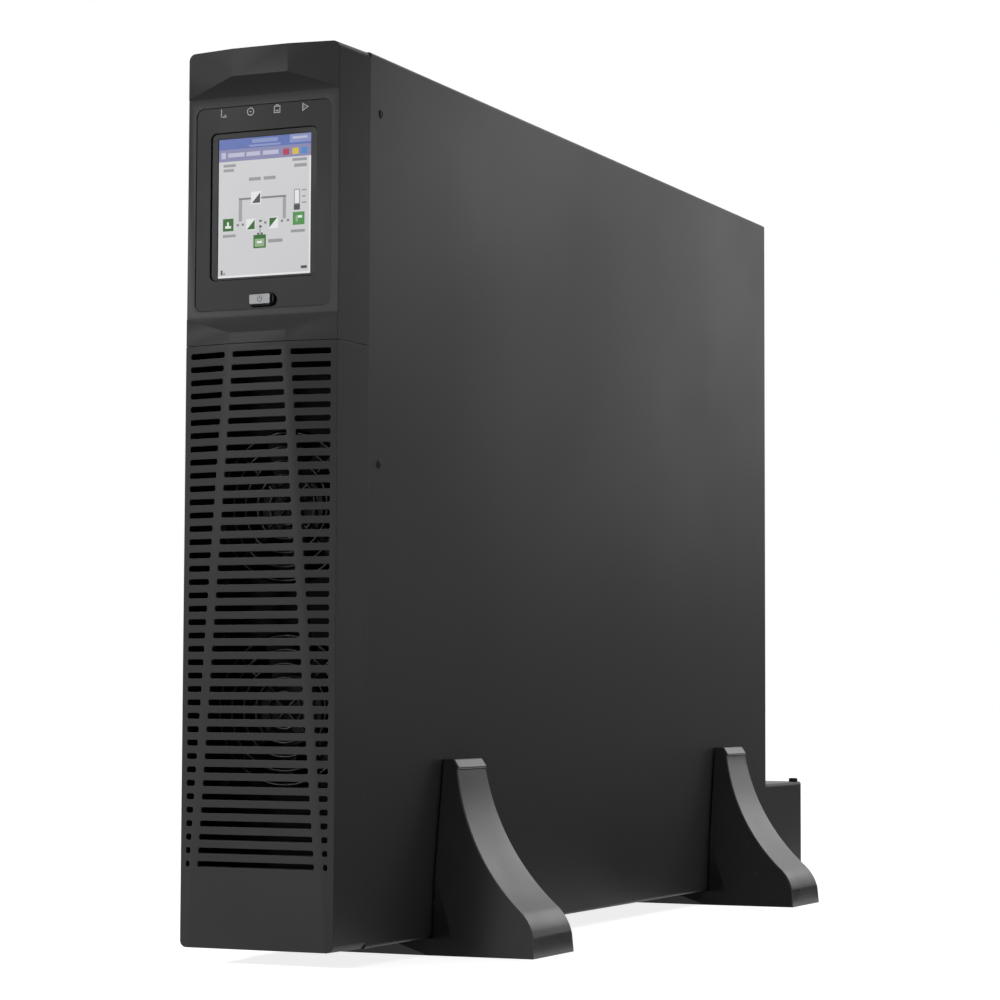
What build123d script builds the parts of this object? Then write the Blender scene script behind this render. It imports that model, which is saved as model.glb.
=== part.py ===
"""Two-unit rack and tower UPS, standing on edge in a pair of tower stands.

Millimetres. The front faces -Y, +X is to the right of the front and +Z is up.
The origin is on the floor, at the middle of the whole length and width.
"""
import os
from math import radians, tan

from build123d import *

# Sheet steel chassis
chassis_width = 88.0
chassis_height = 438.0
chassis_depth = 583.0
sheet = 1.2
fold_radius = 1.6
tray_flange = 12.0

# Moulded front bezel
bezel_depth = 33.5
bezel_edge_depth = 29.5
bezel_edge_width = 83.8
bezel_wall = 2.5
bezel_corner = 3.5
display_height = 145.4
parting_gap = 0.2
cap_facet_width = 31.0
lower_rake = 3.3

# Grille slots of the lower bezel
slot_pitch = 6.5
slot_height = 2.9
slot_outer_width = 77.5
slot_rib = 4.6
slot_top_margin = 5.3
slot_bottom_margin = 39.0

# Display panel between the cap and the chin
panel_setback = 0.3
panel_height = 108.4
panel_bottom_margin = 13.8
cap_slope = 2.2
chin_slope = 1.95
fascia_width = 75.0
fascia_height = 100.5
fascia_bottom_margin = 3.2
fascia_corner = 4.0
fascia_setback = 0.4
fascia_thickness = 3.0
housing_floor = 2.4
fit_gap = 0.2

# Screen and power button
screen_side_margin = 8.2
screen_top_margin = 12.7
screen_bottom_margin = 14.9
screen_corner = 3.0
screen_setback = 0.9
lcd_side_margin = 3.7
lcd_top_margin = 3.0
lcd_bottom_margin = 1.4
lcd_setback = 0.4
button_width = 14.5
button_height = 6.2
button_bottom_margin = 1.3
button_proud = 1.6
button_gap = 0.3
button_flange = 1.4
button_flange_thickness = 1.2
button_cap_width = 11.3
button_cap_height = 4.7
button_cap_thickness = 1.2
button_cap_corner = 0.6

# Intake fans and their wire guards
fan_size = 80.0
fan_depth = 25.4
fan_bore = 76.4
fan_corner = 4.0
fan_hole_pitch = 71.5
fan_hole = 4.3
fan_hub_diameter = 34.0
fan_hub_plate = 3.0
fan_strut_width = 4.0
fan_gap = 20.0
fan_room_above = 0.3375
blade_count = 7
blade_chord = 21.0
blade_thickness = 1.6
blade_camber = 2.6
blade_pitch = 42.0
blade_tip_gap = 4.0
rotor_front_gap = 3.0
rotor_rear_gap = 1.4
guard_wire = 1.6
guard_ring_pitch = 6.85
guard_ring_count = 5
guard_inner_ring = 9.1
guard_eye = 7.4
guard_sides = 20

# Rear panel fittings
vent_slot_length = 30.0
vent_slot_height = 3.0
vent_pitch = 7.2
vent_rows = 22
vent_columns = 2
vent_column_gap = 8.0
vent_top_margin = 22.0
box_width = 84.0
box_height = 63.4
box_depth = 81.0
box_wall = 1.5
box_corner = 2.5
box_bottom_margin = 0.2
knob_diameter = 6.0
knob_height = 2.4
knob_inset = 4.4
knob_rear_margin = 5.4
knockout_diameter = 28.0
knockout_depth = 0.5
fitting_gap = 14.0
battery_socket_width = 56.0
battery_socket_height = 26.0
battery_socket_depth = 12.0
battery_well_width = 16.0
battery_well_height = 13.0
battery_well_depth = 3.0
breaker_width = 22.0
breaker_height = 46.0
breaker_depth = 6.0
toggle_width = 9.0
toggle_height = 14.0
toggle_depth = 7.0
card_cover_width = 46.0
card_cover_height = 78.0
card_cover_thickness = 1.2
card_cover_corner = 2.0
serial_width = 31.0
serial_height = 12.5
serial_flange = 1.0
serial_shell_width = 17.0
serial_shell_height = 8.4
serial_depth = 5.6
stop_plug_width = 12.0
stop_plug_height = 9.0
stop_plug_depth = 9.0

# Rack ear holes in the top and bottom walls
ear_hole = 3.3
ear_hole_pitch_x = 50.0
ear_hole_pitch_y = 26.0
ear_hole_setback = 17.0

# Tower stands
stand_plate = 8.4
stand_width = 202.4
stand_depth = 55.0
stand_front_setback = 67.8
stand_spacing = 399.0
stand_gap = 0.8
fin_height = 98.2
fin_top_depth = 33.6
fin_front_lean = 16.4
fin_sweep = 3.0
fin_shoulder = 8.4
fin_bevel_width = 3.0
fin_bevel_height = 4.4
fin_lip = 0.8
fin_hollow = 7.0
fin_facet_width = 12.2
fin_facet_height = 41.0
fin_facet_depth = 3.0
nose_length = 8.8
nose_height = 23.2
nose_bulge = 1.3
toe_height = 9.4
toe_draft = 0.8

# Places that follow from the sizes above
overall_length = bezel_depth + chassis_depth + box_depth
front = -overall_length / 2
chassis_front = front + bezel_depth
chassis_rear = chassis_front + chassis_depth
chassis_bottom = stand_plate
chassis_top = chassis_bottom + chassis_height
half_chassis = chassis_width / 2
half_edge = bezel_edge_width / 2
parting = chassis_top - display_height
grille_top = parting - parting_gap
facet_slope = (bezel_depth - bezel_edge_depth) / (half_edge - cap_facet_width / 2)
panel_front = chassis_front - bezel_edge_depth + panel_setback
panel_bottom = parting + panel_bottom_margin
panel_top = panel_bottom + panel_height
fascia_front = panel_front + fascia_setback
fascia_back = fascia_front + fascia_thickness
fascia_bottom = panel_bottom + fascia_bottom_margin
fascia_middle = fascia_bottom + fascia_height / 2
screen_width = fascia_width - 2 * screen_side_margin
screen_height = fascia_height - screen_top_margin - screen_bottom_margin
screen_middle = fascia_bottom + screen_bottom_margin + screen_height / 2
lcd_width = screen_width - 2 * lcd_side_margin
lcd_height = screen_height - lcd_top_margin - lcd_bottom_margin
lcd_middle = screen_middle + (lcd_bottom_margin - lcd_top_margin) / 2
button_middle = fascia_bottom + button_bottom_margin + button_height / 2
fan_front = chassis_front + sheet
fan_room = parting - chassis_bottom - 2 * fan_size - fan_gap
upper_fan = parting - fan_room * fan_room_above - fan_size / 2
fan_heights = {"upper": upper_fan, "lower": upper_fan - fan_size - fan_gap}
box_bottom = chassis_bottom + box_bottom_margin
box_top = box_bottom + box_height


def plate(outline, front_y, thickness, middle_z, middle_x=0.0):
    """Flat piece facing the front: its outline lies in XZ, its front face at front_y."""
    solid = extrude(outline, thickness, dir=(0, 0, 1))
    return Pos(middle_x, front_y + thickness, middle_z) * Rot(90, 0, 0) * solid


def side_prism(points, width):
    """Solid of an outline in YZ, as wide as width about the middle plane."""
    return extrude(Plane.YZ * Polygon(*points, align=None), width / 2, both=True)


def block(x_range, y_range, z_range):
    """Box between the given pairs of limits."""
    sizes = [high - low for low, high in (x_range, y_range, z_range)]
    middle = [(low + high) / 2 for low, high in (x_range, y_range, z_range)]
    return Pos(*middle) * Box(*sizes)


def bezel_section(inset, back):
    """Bezel outline in XY: tapered sides and two facets that meet in front of the middle."""
    side = half_edge - inset
    edge = chassis_front - bezel_edge_depth + inset
    return Polygon(
        (-half_chassis + inset, back),
        (half_chassis - inset, back),
        (side, edge),
        (0, edge - side * facet_slope),
        (-side, edge),
        align=None,
    )


def bezel_block(bottom, top, rake, inset=0.0):
    """Bezel solid between two heights, its middle facet raked back by rake at the bottom."""
    low = bottom + inset
    high = top - inset
    back = chassis_front + inset
    body = Pos(0, 0, low) * extrude(bezel_section(inset, back), high - low, dir=(0, 0, 1))
    face = front + inset
    ahead = face - bezel_depth
    return body - side_prism(
        ((face, high), (face + rake, low), (ahead, low), (ahead, high)),
        2 * chassis_width,
    )


def round_long_corners(body, height, radius):
    """Round the two edges of a bezel block that run back along its sides at this height."""
    corners = [
        edge
        for edge in body.edges()
        if all(abs(v.Z - height) < 0.01 and abs(v.X) > half_edge - 0.01 for v in edge.vertices())
        and edge.length > bezel_edge_depth / 2
        and abs(edge.center().X) > half_edge / 2
    ]
    return fillet(corners, radius)


def fold_half_width(height):
    """Half width of the lower bezel's middle facet at a height."""
    depth = bezel_depth - lower_rake * (grille_top - height) / (grille_top - chassis_bottom)
    return half_edge - (depth - bezel_edge_depth) / facet_slope


def grille_slots():
    """Three columns of slots; the ribs between them follow the folds of the facets."""
    first = parting - slot_top_margin
    rows = int((first - chassis_bottom - slot_bottom_margin) / slot_pitch) + 1
    depth = (front - bezel_wall, chassis_front - bezel_edge_depth + 2 * bezel_wall)
    slots = []
    for row in range(rows):
        height = first - row * slot_pitch
        level = (height - slot_height / 2, height + slot_height / 2)
        inner = fold_half_width(height) - slot_rib / 2
        outer = (inner + slot_rib, slot_outer_width / 2)
        slots.append(block((-inner, inner), depth, level))
        slots.append(block(outer, depth, level))
        slots.append(block((-outer[1], -outer[0]), depth, level))
    return slots


def grille_cover():
    """Lower bezel: a moulded shell, open at the back, with the intake slots."""
    shell = round_long_corners(
        bezel_block(chassis_bottom, grille_top, lower_rake), chassis_bottom, bezel_corner
    )
    shell -= bezel_block(chassis_bottom, grille_top, lower_rake, bezel_wall)
    return shell - grille_slots()


def display_housing():
    """Upper bezel: cap and chin around a set-back panel with a pocket for the fascia."""
    body = round_long_corners(bezel_block(parting, chassis_top, 0.0), chassis_top, bezel_corner)
    reach = 2 * bezel_depth
    body -= side_prism(
        (
            (panel_front, panel_bottom),
            (panel_front, panel_top),
            (panel_front - reach, panel_top + cap_slope * reach),
            (panel_front - reach, panel_bottom - chin_slope * reach),
        ),
        2 * chassis_width,
    )
    pocket = RectangleRounded(fascia_width, fascia_height, fascia_corner)
    body -= plate(pocket, panel_front, fascia_back - panel_front, fascia_middle)
    cavity_side = half_edge - bezel_wall
    body -= block(
        (-cavity_side, cavity_side),
        (fascia_back + housing_floor, chassis_front + bezel_wall),
        (parting + bezel_wall, chassis_top - bezel_wall),
    )
    room = 2 * (button_flange + button_gap)
    passage = SlotOverall(button_width + room, button_height + room)
    return body - plate(passage, fascia_back, housing_floor, button_middle)


def control_fascia():
    """Plate in the panel's pocket, with the screen window and the button slot."""
    outline = RectangleRounded(
        fascia_width - 2 * fit_gap, fascia_height - 2 * fit_gap, fascia_corner - fit_gap
    )
    body = plate(outline, fascia_front, fascia_thickness, fascia_middle)
    window = RectangleRounded(screen_width, screen_height, screen_corner)
    body -= plate(window, fascia_front, fascia_thickness, screen_middle)
    slot = SlotOverall(button_width + 2 * button_gap, button_height + 2 * button_gap)
    return body - plate(slot, fascia_front, fascia_thickness, button_middle)


def screen_parts():
    """Black frame in the fascia's window, and the glass in the frame."""
    frame_front = fascia_front + screen_setback
    thickness = fascia_back - frame_front
    outline = RectangleRounded(
        screen_width - 2 * fit_gap, screen_height - 2 * fit_gap, screen_corner - fit_gap
    )
    surround = plate(outline, frame_front, thickness, screen_middle)
    opening = Rectangle(lcd_width + 2 * fit_gap, lcd_height + 2 * fit_gap)
    surround -= plate(opening, frame_front, thickness, lcd_middle)
    glass = plate(
        Rectangle(lcd_width, lcd_height), frame_front + lcd_setback, thickness - lcd_setback, lcd_middle
    )
    return surround, glass


def power_button():
    """Pill-shaped button with a flange behind the fascia, and its pale cap."""
    face = fascia_front - button_proud
    flange_front = fascia_back + button_gap
    stem = plate(SlotOverall(button_width, button_height), face, flange_front - face, button_middle)
    rim = SlotOverall(button_width + 2 * button_flange, button_height + 2 * button_flange)
    stem += plate(rim, flange_front, button_flange_thickness, button_middle)
    cap_outline = RectangleRounded(button_cap_width, button_cap_height, button_cap_corner)
    cap = plate(cap_outline, face - button_cap_thickness, button_cap_thickness, button_middle)
    return stem, cap


def chassis_cover():
    """Right side, top and bottom folded from one sheet, with the rack ear holes."""
    outline = Rectangle(chassis_width, chassis_height)
    sides = (-half_chassis + sheet, half_chassis - sheet)
    levels = (chassis_bottom + sheet, chassis_top - sheet)
    length = (chassis_front, chassis_rear)
    body = block((-half_chassis + sheet, half_chassis), length, (chassis_bottom, chassis_top))
    folds = body.edges().filter_by(Axis.Y).group_by(Axis.X)[-1]
    body = fillet(folds, fold_radius)
    inside = block((-half_chassis, sides[1]), length, levels)
    inner_folds = inside.edges().filter_by(Axis.Y).group_by(Axis.X)[-1]
    body -= fillet(inner_folds, fold_radius - sheet)
    middle_y = chassis_front + ear_hole_setback + ear_hole_pitch_y / 2
    for x in (-ear_hole_pitch_x / 2, ear_hole_pitch_x / 2):
        for y in (middle_y - ear_hole_pitch_y / 2, middle_y + ear_hole_pitch_y / 2):
            body -= Pos(x, y, chassis_bottom + chassis_height / 2) * Cylinder(
                ear_hole / 2, chassis_height + sheet
            )
    return body


def chassis_tray():
    """Left side with flanges folded in under the cover's top and bottom walls."""
    levels = (chassis_bottom + sheet, chassis_top - sheet)
    length = (chassis_front, chassis_rear)
    wall = block((-half_chassis, -half_chassis + sheet), length, (chassis_bottom, chassis_top))
    reach = (-half_chassis, -half_chassis + sheet + tray_flange)
    inner_length = (chassis_front + sheet, chassis_rear - sheet)
    for low in (levels[0], levels[1] - sheet):
        wall += block(reach, inner_length, (low, low + sheet))
    return wall


def inner_panel_outline():
    """Outline of a panel that closes the chassis between its four walls."""
    return RectangleRounded(chassis_width - 2 * sheet, chassis_height - 2 * sheet, fold_radius)


def fan_plate():
    """Front bulkhead with the two air holes."""
    body = plate(inner_panel_outline(), chassis_front, sheet, chassis_bottom + chassis_height / 2)
    for height in fan_heights.values():
        body -= plate(Circle(fan_bore / 2), chassis_front, sheet, height)
    return body


def fan_frame(height):
    """Square fan frame with a round duct and a motor plate on four struts."""
    outline = RectangleRounded(fan_size, fan_size, fan_corner) - Circle(fan_bore / 2)
    body = plate(outline, fan_front, fan_depth, height)
    back = Circle(fan_hub_diameter / 2)
    for turn in (0, 90):
        back += Rot(0, 0, turn + 45) * Rectangle(fan_bore + fan_corner, fan_strut_width)
    return body + plate(back, fan_front + fan_depth - fan_hub_plate, fan_hub_plate, height)


def fan_rotor(height):
    """Hub with twisted blades; it turns on the motor plate at its back."""
    hub_front = fan_front + rotor_front_gap
    hub_back = fan_front + fan_depth - fan_hub_plate
    hub_radius = fan_hub_diameter / 2
    body = plate(Circle(hub_radius), hub_front, hub_back - hub_front, height)
    blade_middle = (hub_front + hub_back - rotor_rear_gap) / 2
    root = hub_radius - blade_camber
    reach = fan_bore / 2 - blade_tip_gap - root
    ends = (-blade_chord / 2, 0), (blade_chord / 2, 0)
    middle_line = SagittaArc(*ends, blade_camber)
    section = trace(middle_line, blade_thickness)
    station = Plane(origin=(root, blade_middle, height), x_dir=(0, 0, 1), z_dir=(1, 0, 0))
    blade = extrude(station * Rot(0, 0, blade_pitch) * section, reach, dir=(1, 0, 0))
    axis = Axis((0, blade_middle, height), (0, 1, 0))
    blades = [blade.rotate(axis, number * 360 / blade_count) for number in range(blade_count)]
    return body + blades


def fan_guard(height):
    """Rings of wire on two crossed wires that end in four screw eyes."""
    eye_reach = fan_hole_pitch / 2
    cross = Rot(0, 0, 45) * Rectangle(fan_hole_pitch * 2**0.5, guard_wire)
    cross += Rot(0, 0, -45) * Rectangle(fan_hole_pitch * 2**0.5, guard_wire)
    cross += GridLocations(2 * eye_reach, 2 * eye_reach, 2, 2) * Circle(guard_eye / 2)
    cross -= GridLocations(2 * eye_reach, 2 * eye_reach, 2, 2) * Circle(fan_hole / 2)
    body = plate(cross, chassis_front - guard_wire, guard_wire, height)
    for number in range(guard_ring_count):
        radius = guard_inner_ring + number * guard_ring_pitch
        ring = RegularPolygon(radius + guard_wire / 2, guard_sides)
        ring -= RegularPolygon(radius - guard_wire / 2, guard_sides)
        body += plate(ring, chassis_front - 2 * guard_wire, 1.25 * guard_wire, height)
    return body


def rear_panel():
    """Rear sheet with two columns of exhaust slots."""
    outline = inner_panel_outline()
    step = vent_slot_length + vent_column_gap
    middle = chassis_height / 2 - sheet - vent_top_margin - (vent_rows - 1) * vent_pitch / 2
    slots = GridLocations(step, vent_pitch, vent_columns, vent_rows)
    outline -= Pos(0, middle) * slots * Rectangle(vent_slot_length, vent_slot_height)
    return plate(outline, chassis_rear - sheet, sheet, chassis_bottom + chassis_height / 2)


def terminal_box():
    """Hollow cover over the power terminals, open towards the chassis, with two knockouts."""
    half = box_width / 2
    body = block((-half, half), (chassis_rear, chassis_rear + box_depth), (box_bottom, box_top))
    rear_edges = body.edges().filter_by(Axis.Z).group_by(Axis.Y)[-1]
    top_edges = body.edges().filter_by(Axis.Y).group_by(Axis.Z)[-1]
    body = fillet(list(rear_edges) + list(top_edges), box_corner)
    body -= block(
        (-half + box_wall, half - box_wall),
        (chassis_rear, chassis_rear + box_depth - box_wall),
        (box_bottom + box_wall, box_top - box_wall),
    )
    for x in (-box_width / 4, box_width / 4):
        rear = chassis_rear + box_depth - knockout_depth
        body -= plate(Circle(knockout_diameter / 2), rear, knockout_depth, (box_bottom + box_top) / 2, x)
    return body


def terminal_box_knob():
    """Round screw head on top of the terminal box."""
    x = box_width / 2 - knob_inset
    y = chassis_rear + box_depth - knob_rear_margin
    head = Pos(x, y, box_top) * extrude(Circle(knob_diameter / 2), knob_height)
    return chamfer(head.edges().group_by(Axis.Z)[-1], knob_height / 4)


def rear_fittings():
    """Sockets, breaker and blank card cover, one above another over the terminal box."""
    pieces = {}
    battery_z = box_top + fitting_gap + battery_socket_height / 2
    body = plate(
        RectangleRounded(battery_socket_width, battery_socket_height, box_corner),
        chassis_rear, battery_socket_depth, battery_z,
    )
    well_front = chassis_rear + battery_socket_depth - battery_well_depth
    for x in (-battery_socket_width / 4, battery_socket_width / 4):
        well = Rectangle(battery_well_width, battery_well_height)
        body -= plate(well, well_front, battery_well_depth, battery_z, x)
    pieces["battery_socket"] = body
    breaker_z = battery_z + battery_socket_height / 2 + fitting_gap + breaker_height / 2
    breaker_x = -chassis_width / 4
    pieces["input_breaker"] = plate(
        RectangleRounded(breaker_width, breaker_height, box_corner),
        chassis_rear, breaker_depth, breaker_z, breaker_x,
    )
    toggle = plate(
        Rectangle(toggle_width, toggle_height),
        chassis_rear + breaker_depth, toggle_depth, breaker_z + toggle_height / 4, breaker_x,
    )
    pieces["breaker_toggle"] = fillet(toggle.faces().sort_by(Axis.Y)[-1].edges(), toggle_width / 5)
    serial_x = chassis_width / 5
    serial_z = breaker_z + breaker_height / 2 - serial_height / 2
    serial = plate(
        RectangleRounded(serial_width, serial_height, box_corner / 2),
        chassis_rear, serial_flange, serial_z, serial_x,
    )
    shell_top = serial_shell_height / 2
    lean = serial_shell_height * tan(radians(10))
    half_shell = serial_shell_width / 2
    shell = Polygon(
        (-half_shell, shell_top), (half_shell, shell_top),
        (half_shell - lean, -shell_top), (-half_shell + lean, -shell_top),
        align=None,
    )
    shell = fillet(shell.vertices(), box_corner / 2)
    serial += plate(shell, chassis_rear + serial_flange, serial_depth, serial_z, serial_x)
    pieces["serial_port"] = serial
    stop_z = serial_z - serial_height / 2 - fitting_gap - stop_plug_height / 2
    pieces["emergency_stop_plug"] = plate(
        Rectangle(stop_plug_width, stop_plug_height),
        chassis_rear, stop_plug_depth, stop_z, serial_x,
    )
    cover_z = breaker_z + breaker_height / 2 + fitting_gap + card_cover_height / 2
    pieces["card_slot_cover"] = plate(
        RectangleRounded(card_cover_width, card_cover_height, card_cover_corner),
        chassis_rear, card_cover_thickness, cover_z,
    )
    return pieces


def lead_in_facet(start, inner):
    """Wedge that comes off a fin's front face beside the chassis, above the foot plate."""
    lean = fin_front_lean / fin_height
    sweep = fin_sweep / (stand_width / 2 - inner) * fin_facet_width
    foot = Polygon(
        (inner, start + lean * stand_plate + fin_facet_depth),
        (inner, start),
        (inner + fin_facet_width, start),
        (inner + fin_facet_width, start + sweep + lean * stand_plate),
        align=None,
    )
    tip = Vertex(inner, start + lean * fin_facet_height, fin_facet_height)
    return loft([Pos(0, 0, stand_plate) * foot, tip])


def stand_half(setback):
    """Right half of one stand: a foot plate and a hollow-curved fin beside the chassis."""
    start = chassis_front + setback
    toe = stand_width / 2
    inner = half_chassis + stand_gap
    shoulder = inner + fin_shoulder
    bevel_foot = fin_height - fin_bevel_height
    curve_top = bevel_foot - fin_lip
    heel = (toe - toe_draft, toe_height)
    nose = (toe - nose_length, nose_height)
    outline = Line((0, 0), (toe, 0)) + Line((toe, 0), heel)
    outline += SagittaArc(heel, nose, -nose_bulge)
    outline += SagittaArc(nose, (shoulder, curve_top), fin_hollow)
    outline += Polyline(
        (shoulder, curve_top),
        (shoulder + fin_lip, bevel_foot),
        (shoulder + fin_lip - fin_bevel_width, fin_height),
        (inner, fin_height),
        (inner, stand_plate),
        (0, stand_plate),
        (0, 0),
    )
    body = plate(make_face(outline), start, stand_depth, 0.0)
    reach = toe - inner
    face = Plane(
        origin=(inner, start, 0),
        z_dir=(-fin_sweep * fin_height, reach * fin_height, -reach * fin_front_lean),
    )
    body = split(body, bisect_by=face, keep=Keep.TOP)
    rear_lean = stand_depth - fin_front_lean - fin_top_depth
    end = start + stand_depth
    body -= side_prism(
        ((end, 0), (end - rear_lean, fin_height), (end, fin_height)), 2 * stand_width
    )
    return body - lead_in_facet(start, inner)


def all_parts():
    """Every piece of the unit by name."""
    pieces = {
        "chassis_cover": chassis_cover(),
        "chassis_tray": chassis_tray(),
        "fan_plate": fan_plate(),
        "rear_panel": rear_panel(),
        "grille_cover": grille_cover(),
        "display_housing": display_housing(),
        "control_fascia": control_fascia(),
        "terminal_box": terminal_box(),
        "terminal_box_knob": terminal_box_knob(),
    }
    pieces["screen_frame"], pieces["lcd_screen"] = screen_parts()
    pieces["power_button"], pieces["button_cap"] = power_button()
    for name, height in fan_heights.items():
        pieces[f"fan_frame_{name}"] = fan_frame(height)
        pieces[f"fan_rotor_{name}"] = fan_rotor(height)
        pieces[f"fan_guard_{name}"] = fan_guard(height)
    pieces.update(rear_fittings())
    for name, setback in (
        ("front", stand_front_setback),
        ("rear", stand_front_setback + stand_spacing),
    ):
        right = stand_half(setback)
        pieces[f"{name}_stand_right"] = right
        pieces[f"{name}_stand_left"] = mirror(right, Plane.YZ)
    return pieces


os.makedirs("parts", exist_ok=True)
for node, shape in all_parts().items():
    export_step(shape, f"parts/{node}.step")
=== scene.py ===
"""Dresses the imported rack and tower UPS: finishes, screen, marks, fasteners, studio and camera.

Metres, in the CAD model's own frame: the front faces -Y, +X is to its right and +Z is up.
Sizes of the pieces are given in millimetres and turned to metres where a mesh is made.
"""
from __future__ import annotations

import logging
import math
from collections.abc import Callable, Iterator, Mapping, Sequence
from contextlib import contextmanager
from dataclasses import dataclass
from enum import Enum
from typing import Any

import bmesh
import bpy
from mathutils import Matrix, Vector

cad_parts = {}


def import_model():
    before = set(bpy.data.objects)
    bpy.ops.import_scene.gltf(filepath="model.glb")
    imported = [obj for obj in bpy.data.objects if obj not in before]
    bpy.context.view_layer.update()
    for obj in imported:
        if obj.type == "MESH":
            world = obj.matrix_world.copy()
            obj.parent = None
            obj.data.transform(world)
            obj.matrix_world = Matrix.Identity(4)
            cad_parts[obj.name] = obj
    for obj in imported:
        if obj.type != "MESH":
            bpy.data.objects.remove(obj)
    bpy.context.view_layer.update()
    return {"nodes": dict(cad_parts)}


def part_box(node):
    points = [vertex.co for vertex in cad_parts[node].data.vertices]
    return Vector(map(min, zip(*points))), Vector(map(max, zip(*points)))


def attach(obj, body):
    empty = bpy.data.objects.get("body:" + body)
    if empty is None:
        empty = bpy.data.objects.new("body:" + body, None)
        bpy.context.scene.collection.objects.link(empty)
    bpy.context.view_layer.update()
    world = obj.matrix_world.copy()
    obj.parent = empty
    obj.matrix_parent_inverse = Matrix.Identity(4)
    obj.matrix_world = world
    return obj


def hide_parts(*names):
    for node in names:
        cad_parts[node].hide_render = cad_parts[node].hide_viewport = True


Piece = bpy.types.Object
CadNodes = Mapping[str, bpy.types.Object]
Tree = bpy.types.NodeTree
ShaderNode = bpy.types.Node
Socket = bpy.types.NodeSocket
EditMesh = bmesh.types.BMesh
Face = bmesh.types.BMFace
Edge = bmesh.types.BMEdge
Point = tuple[float, float, float]
Span = tuple[float, float]

MM = 0.001
LOG = logging.getLogger("ups_scene")
# Most values of a Noise texture lie in this span.
NOISE_SPAN = (0.3, 0.7)
# The Wave texture's stripes repeat at this distance when its scale is 1.
WAVE_PERIOD = 2 * math.pi / 20


class Body(Enum):
    """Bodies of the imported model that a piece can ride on."""

    UNIT = "unit"
    BUTTON = "button"


def linear(hex_colour: str) -> tuple[float, float, float, float]:
    """Turn an sRGB hex colour into linear RGBA.

    Args:
        hex_colour: Colour such as "#3a3a3c".

    Returns:
        Linear red, green, blue and an alpha of 1.
    """
    values = [int(hex_colour[place:place + 2], 16) / 255 for place in (1, 3, 5)]
    red, green, blue = (
        value / 12.92 if value <= 0.04045 else ((value + 0.055) / 1.055) ** 2.4 for value in values
    )
    return red, green, blue, 1.0


def empty_tree(owner: bpy.types.Material | bpy.types.World) -> Tree:
    """Switch a material or the world to nodes and empty its tree.

    Args:
        owner: The material or the world.

    Returns:
        The empty node tree.
    """
    owner.use_nodes = True
    owner.node_tree.nodes.clear()
    return owner.node_tree


def add_node(
    tree: Tree,
    kind: str,
    settings: Mapping[str | int, Any] | None = None,
    links: Mapping[str | int, Socket] | None = None,
) -> ShaderNode:
    """Add a node with its settings and its incoming links.

    Args:
        tree: Node tree of a material or the world.
        kind: Blender's name for the node type.
        settings: Values by property name, socket name or socket number.
        links: Outputs of other nodes by socket name or number of this one.

    Returns:
        The new node.
    """
    node = tree.nodes.new(kind)
    for key, value in (settings or {}).items():
        if isinstance(key, str) and hasattr(node, key):
            setattr(node, key, value)
        else:
            node.inputs[key].default_value = value
    for key, source in (links or {}).items():
        tree.links.new(source, node.inputs[key])
    return node


def limits(side: str, ends: Span) -> dict[str, float]:
    """Settings for one side, From or To, of a node that maps one range to another."""
    return {f"{side} Min": ends[0], f"{side} Max": ends[1]}


@dataclass(frozen=True)
class Finish:
    """Base of the finishes: a principled shader with a colour and a gloss of its own."""

    name: str
    colour: str
    roughness: float
    ior: float = 1.5
    gloss: float = 0.5
    metallic: float = 0.0

    def material(self) -> bpy.types.Material:
        """Make the material once and return it.

        Returns:
            The material of this finish.
        """
        known = bpy.data.materials.get(self.name)
        if known is not None:
            return known
        material = bpy.data.materials.new(self.name)
        tree = empty_tree(material)
        shader = add_node(tree, "ShaderNodeBsdfPrincipled", {
            "Base Color": linear(self.colour), "Roughness": self.roughness, "IOR": self.ior,
            "Specular IOR Level": self.gloss, "Metallic": self.metallic,
        })
        add_node(tree, "ShaderNodeOutputMaterial", links={"Surface": shader.outputs["BSDF"]})
        place = add_node(tree, "ShaderNodeTexCoord").outputs["Object"]
        self.dress(tree, shader, place)
        return material

    def dress(self, tree: Tree, shader: ShaderNode, place: Socket) -> None:
        """Add what this finish shows beyond its colour.

        Args:
            tree: The material's node tree.
            shader: Its principled shader.
            place: Object coordinates, in metres.
        """
        raise NotImplementedError

    def paint(self, piece: Piece) -> Piece:
        """Give a piece this finish all over.

        Args:
            piece: The mesh object.

        Returns:
            The same object.
        """
        piece.data.materials.clear()
        piece.data.materials.append(self.material())
        return piece


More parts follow.
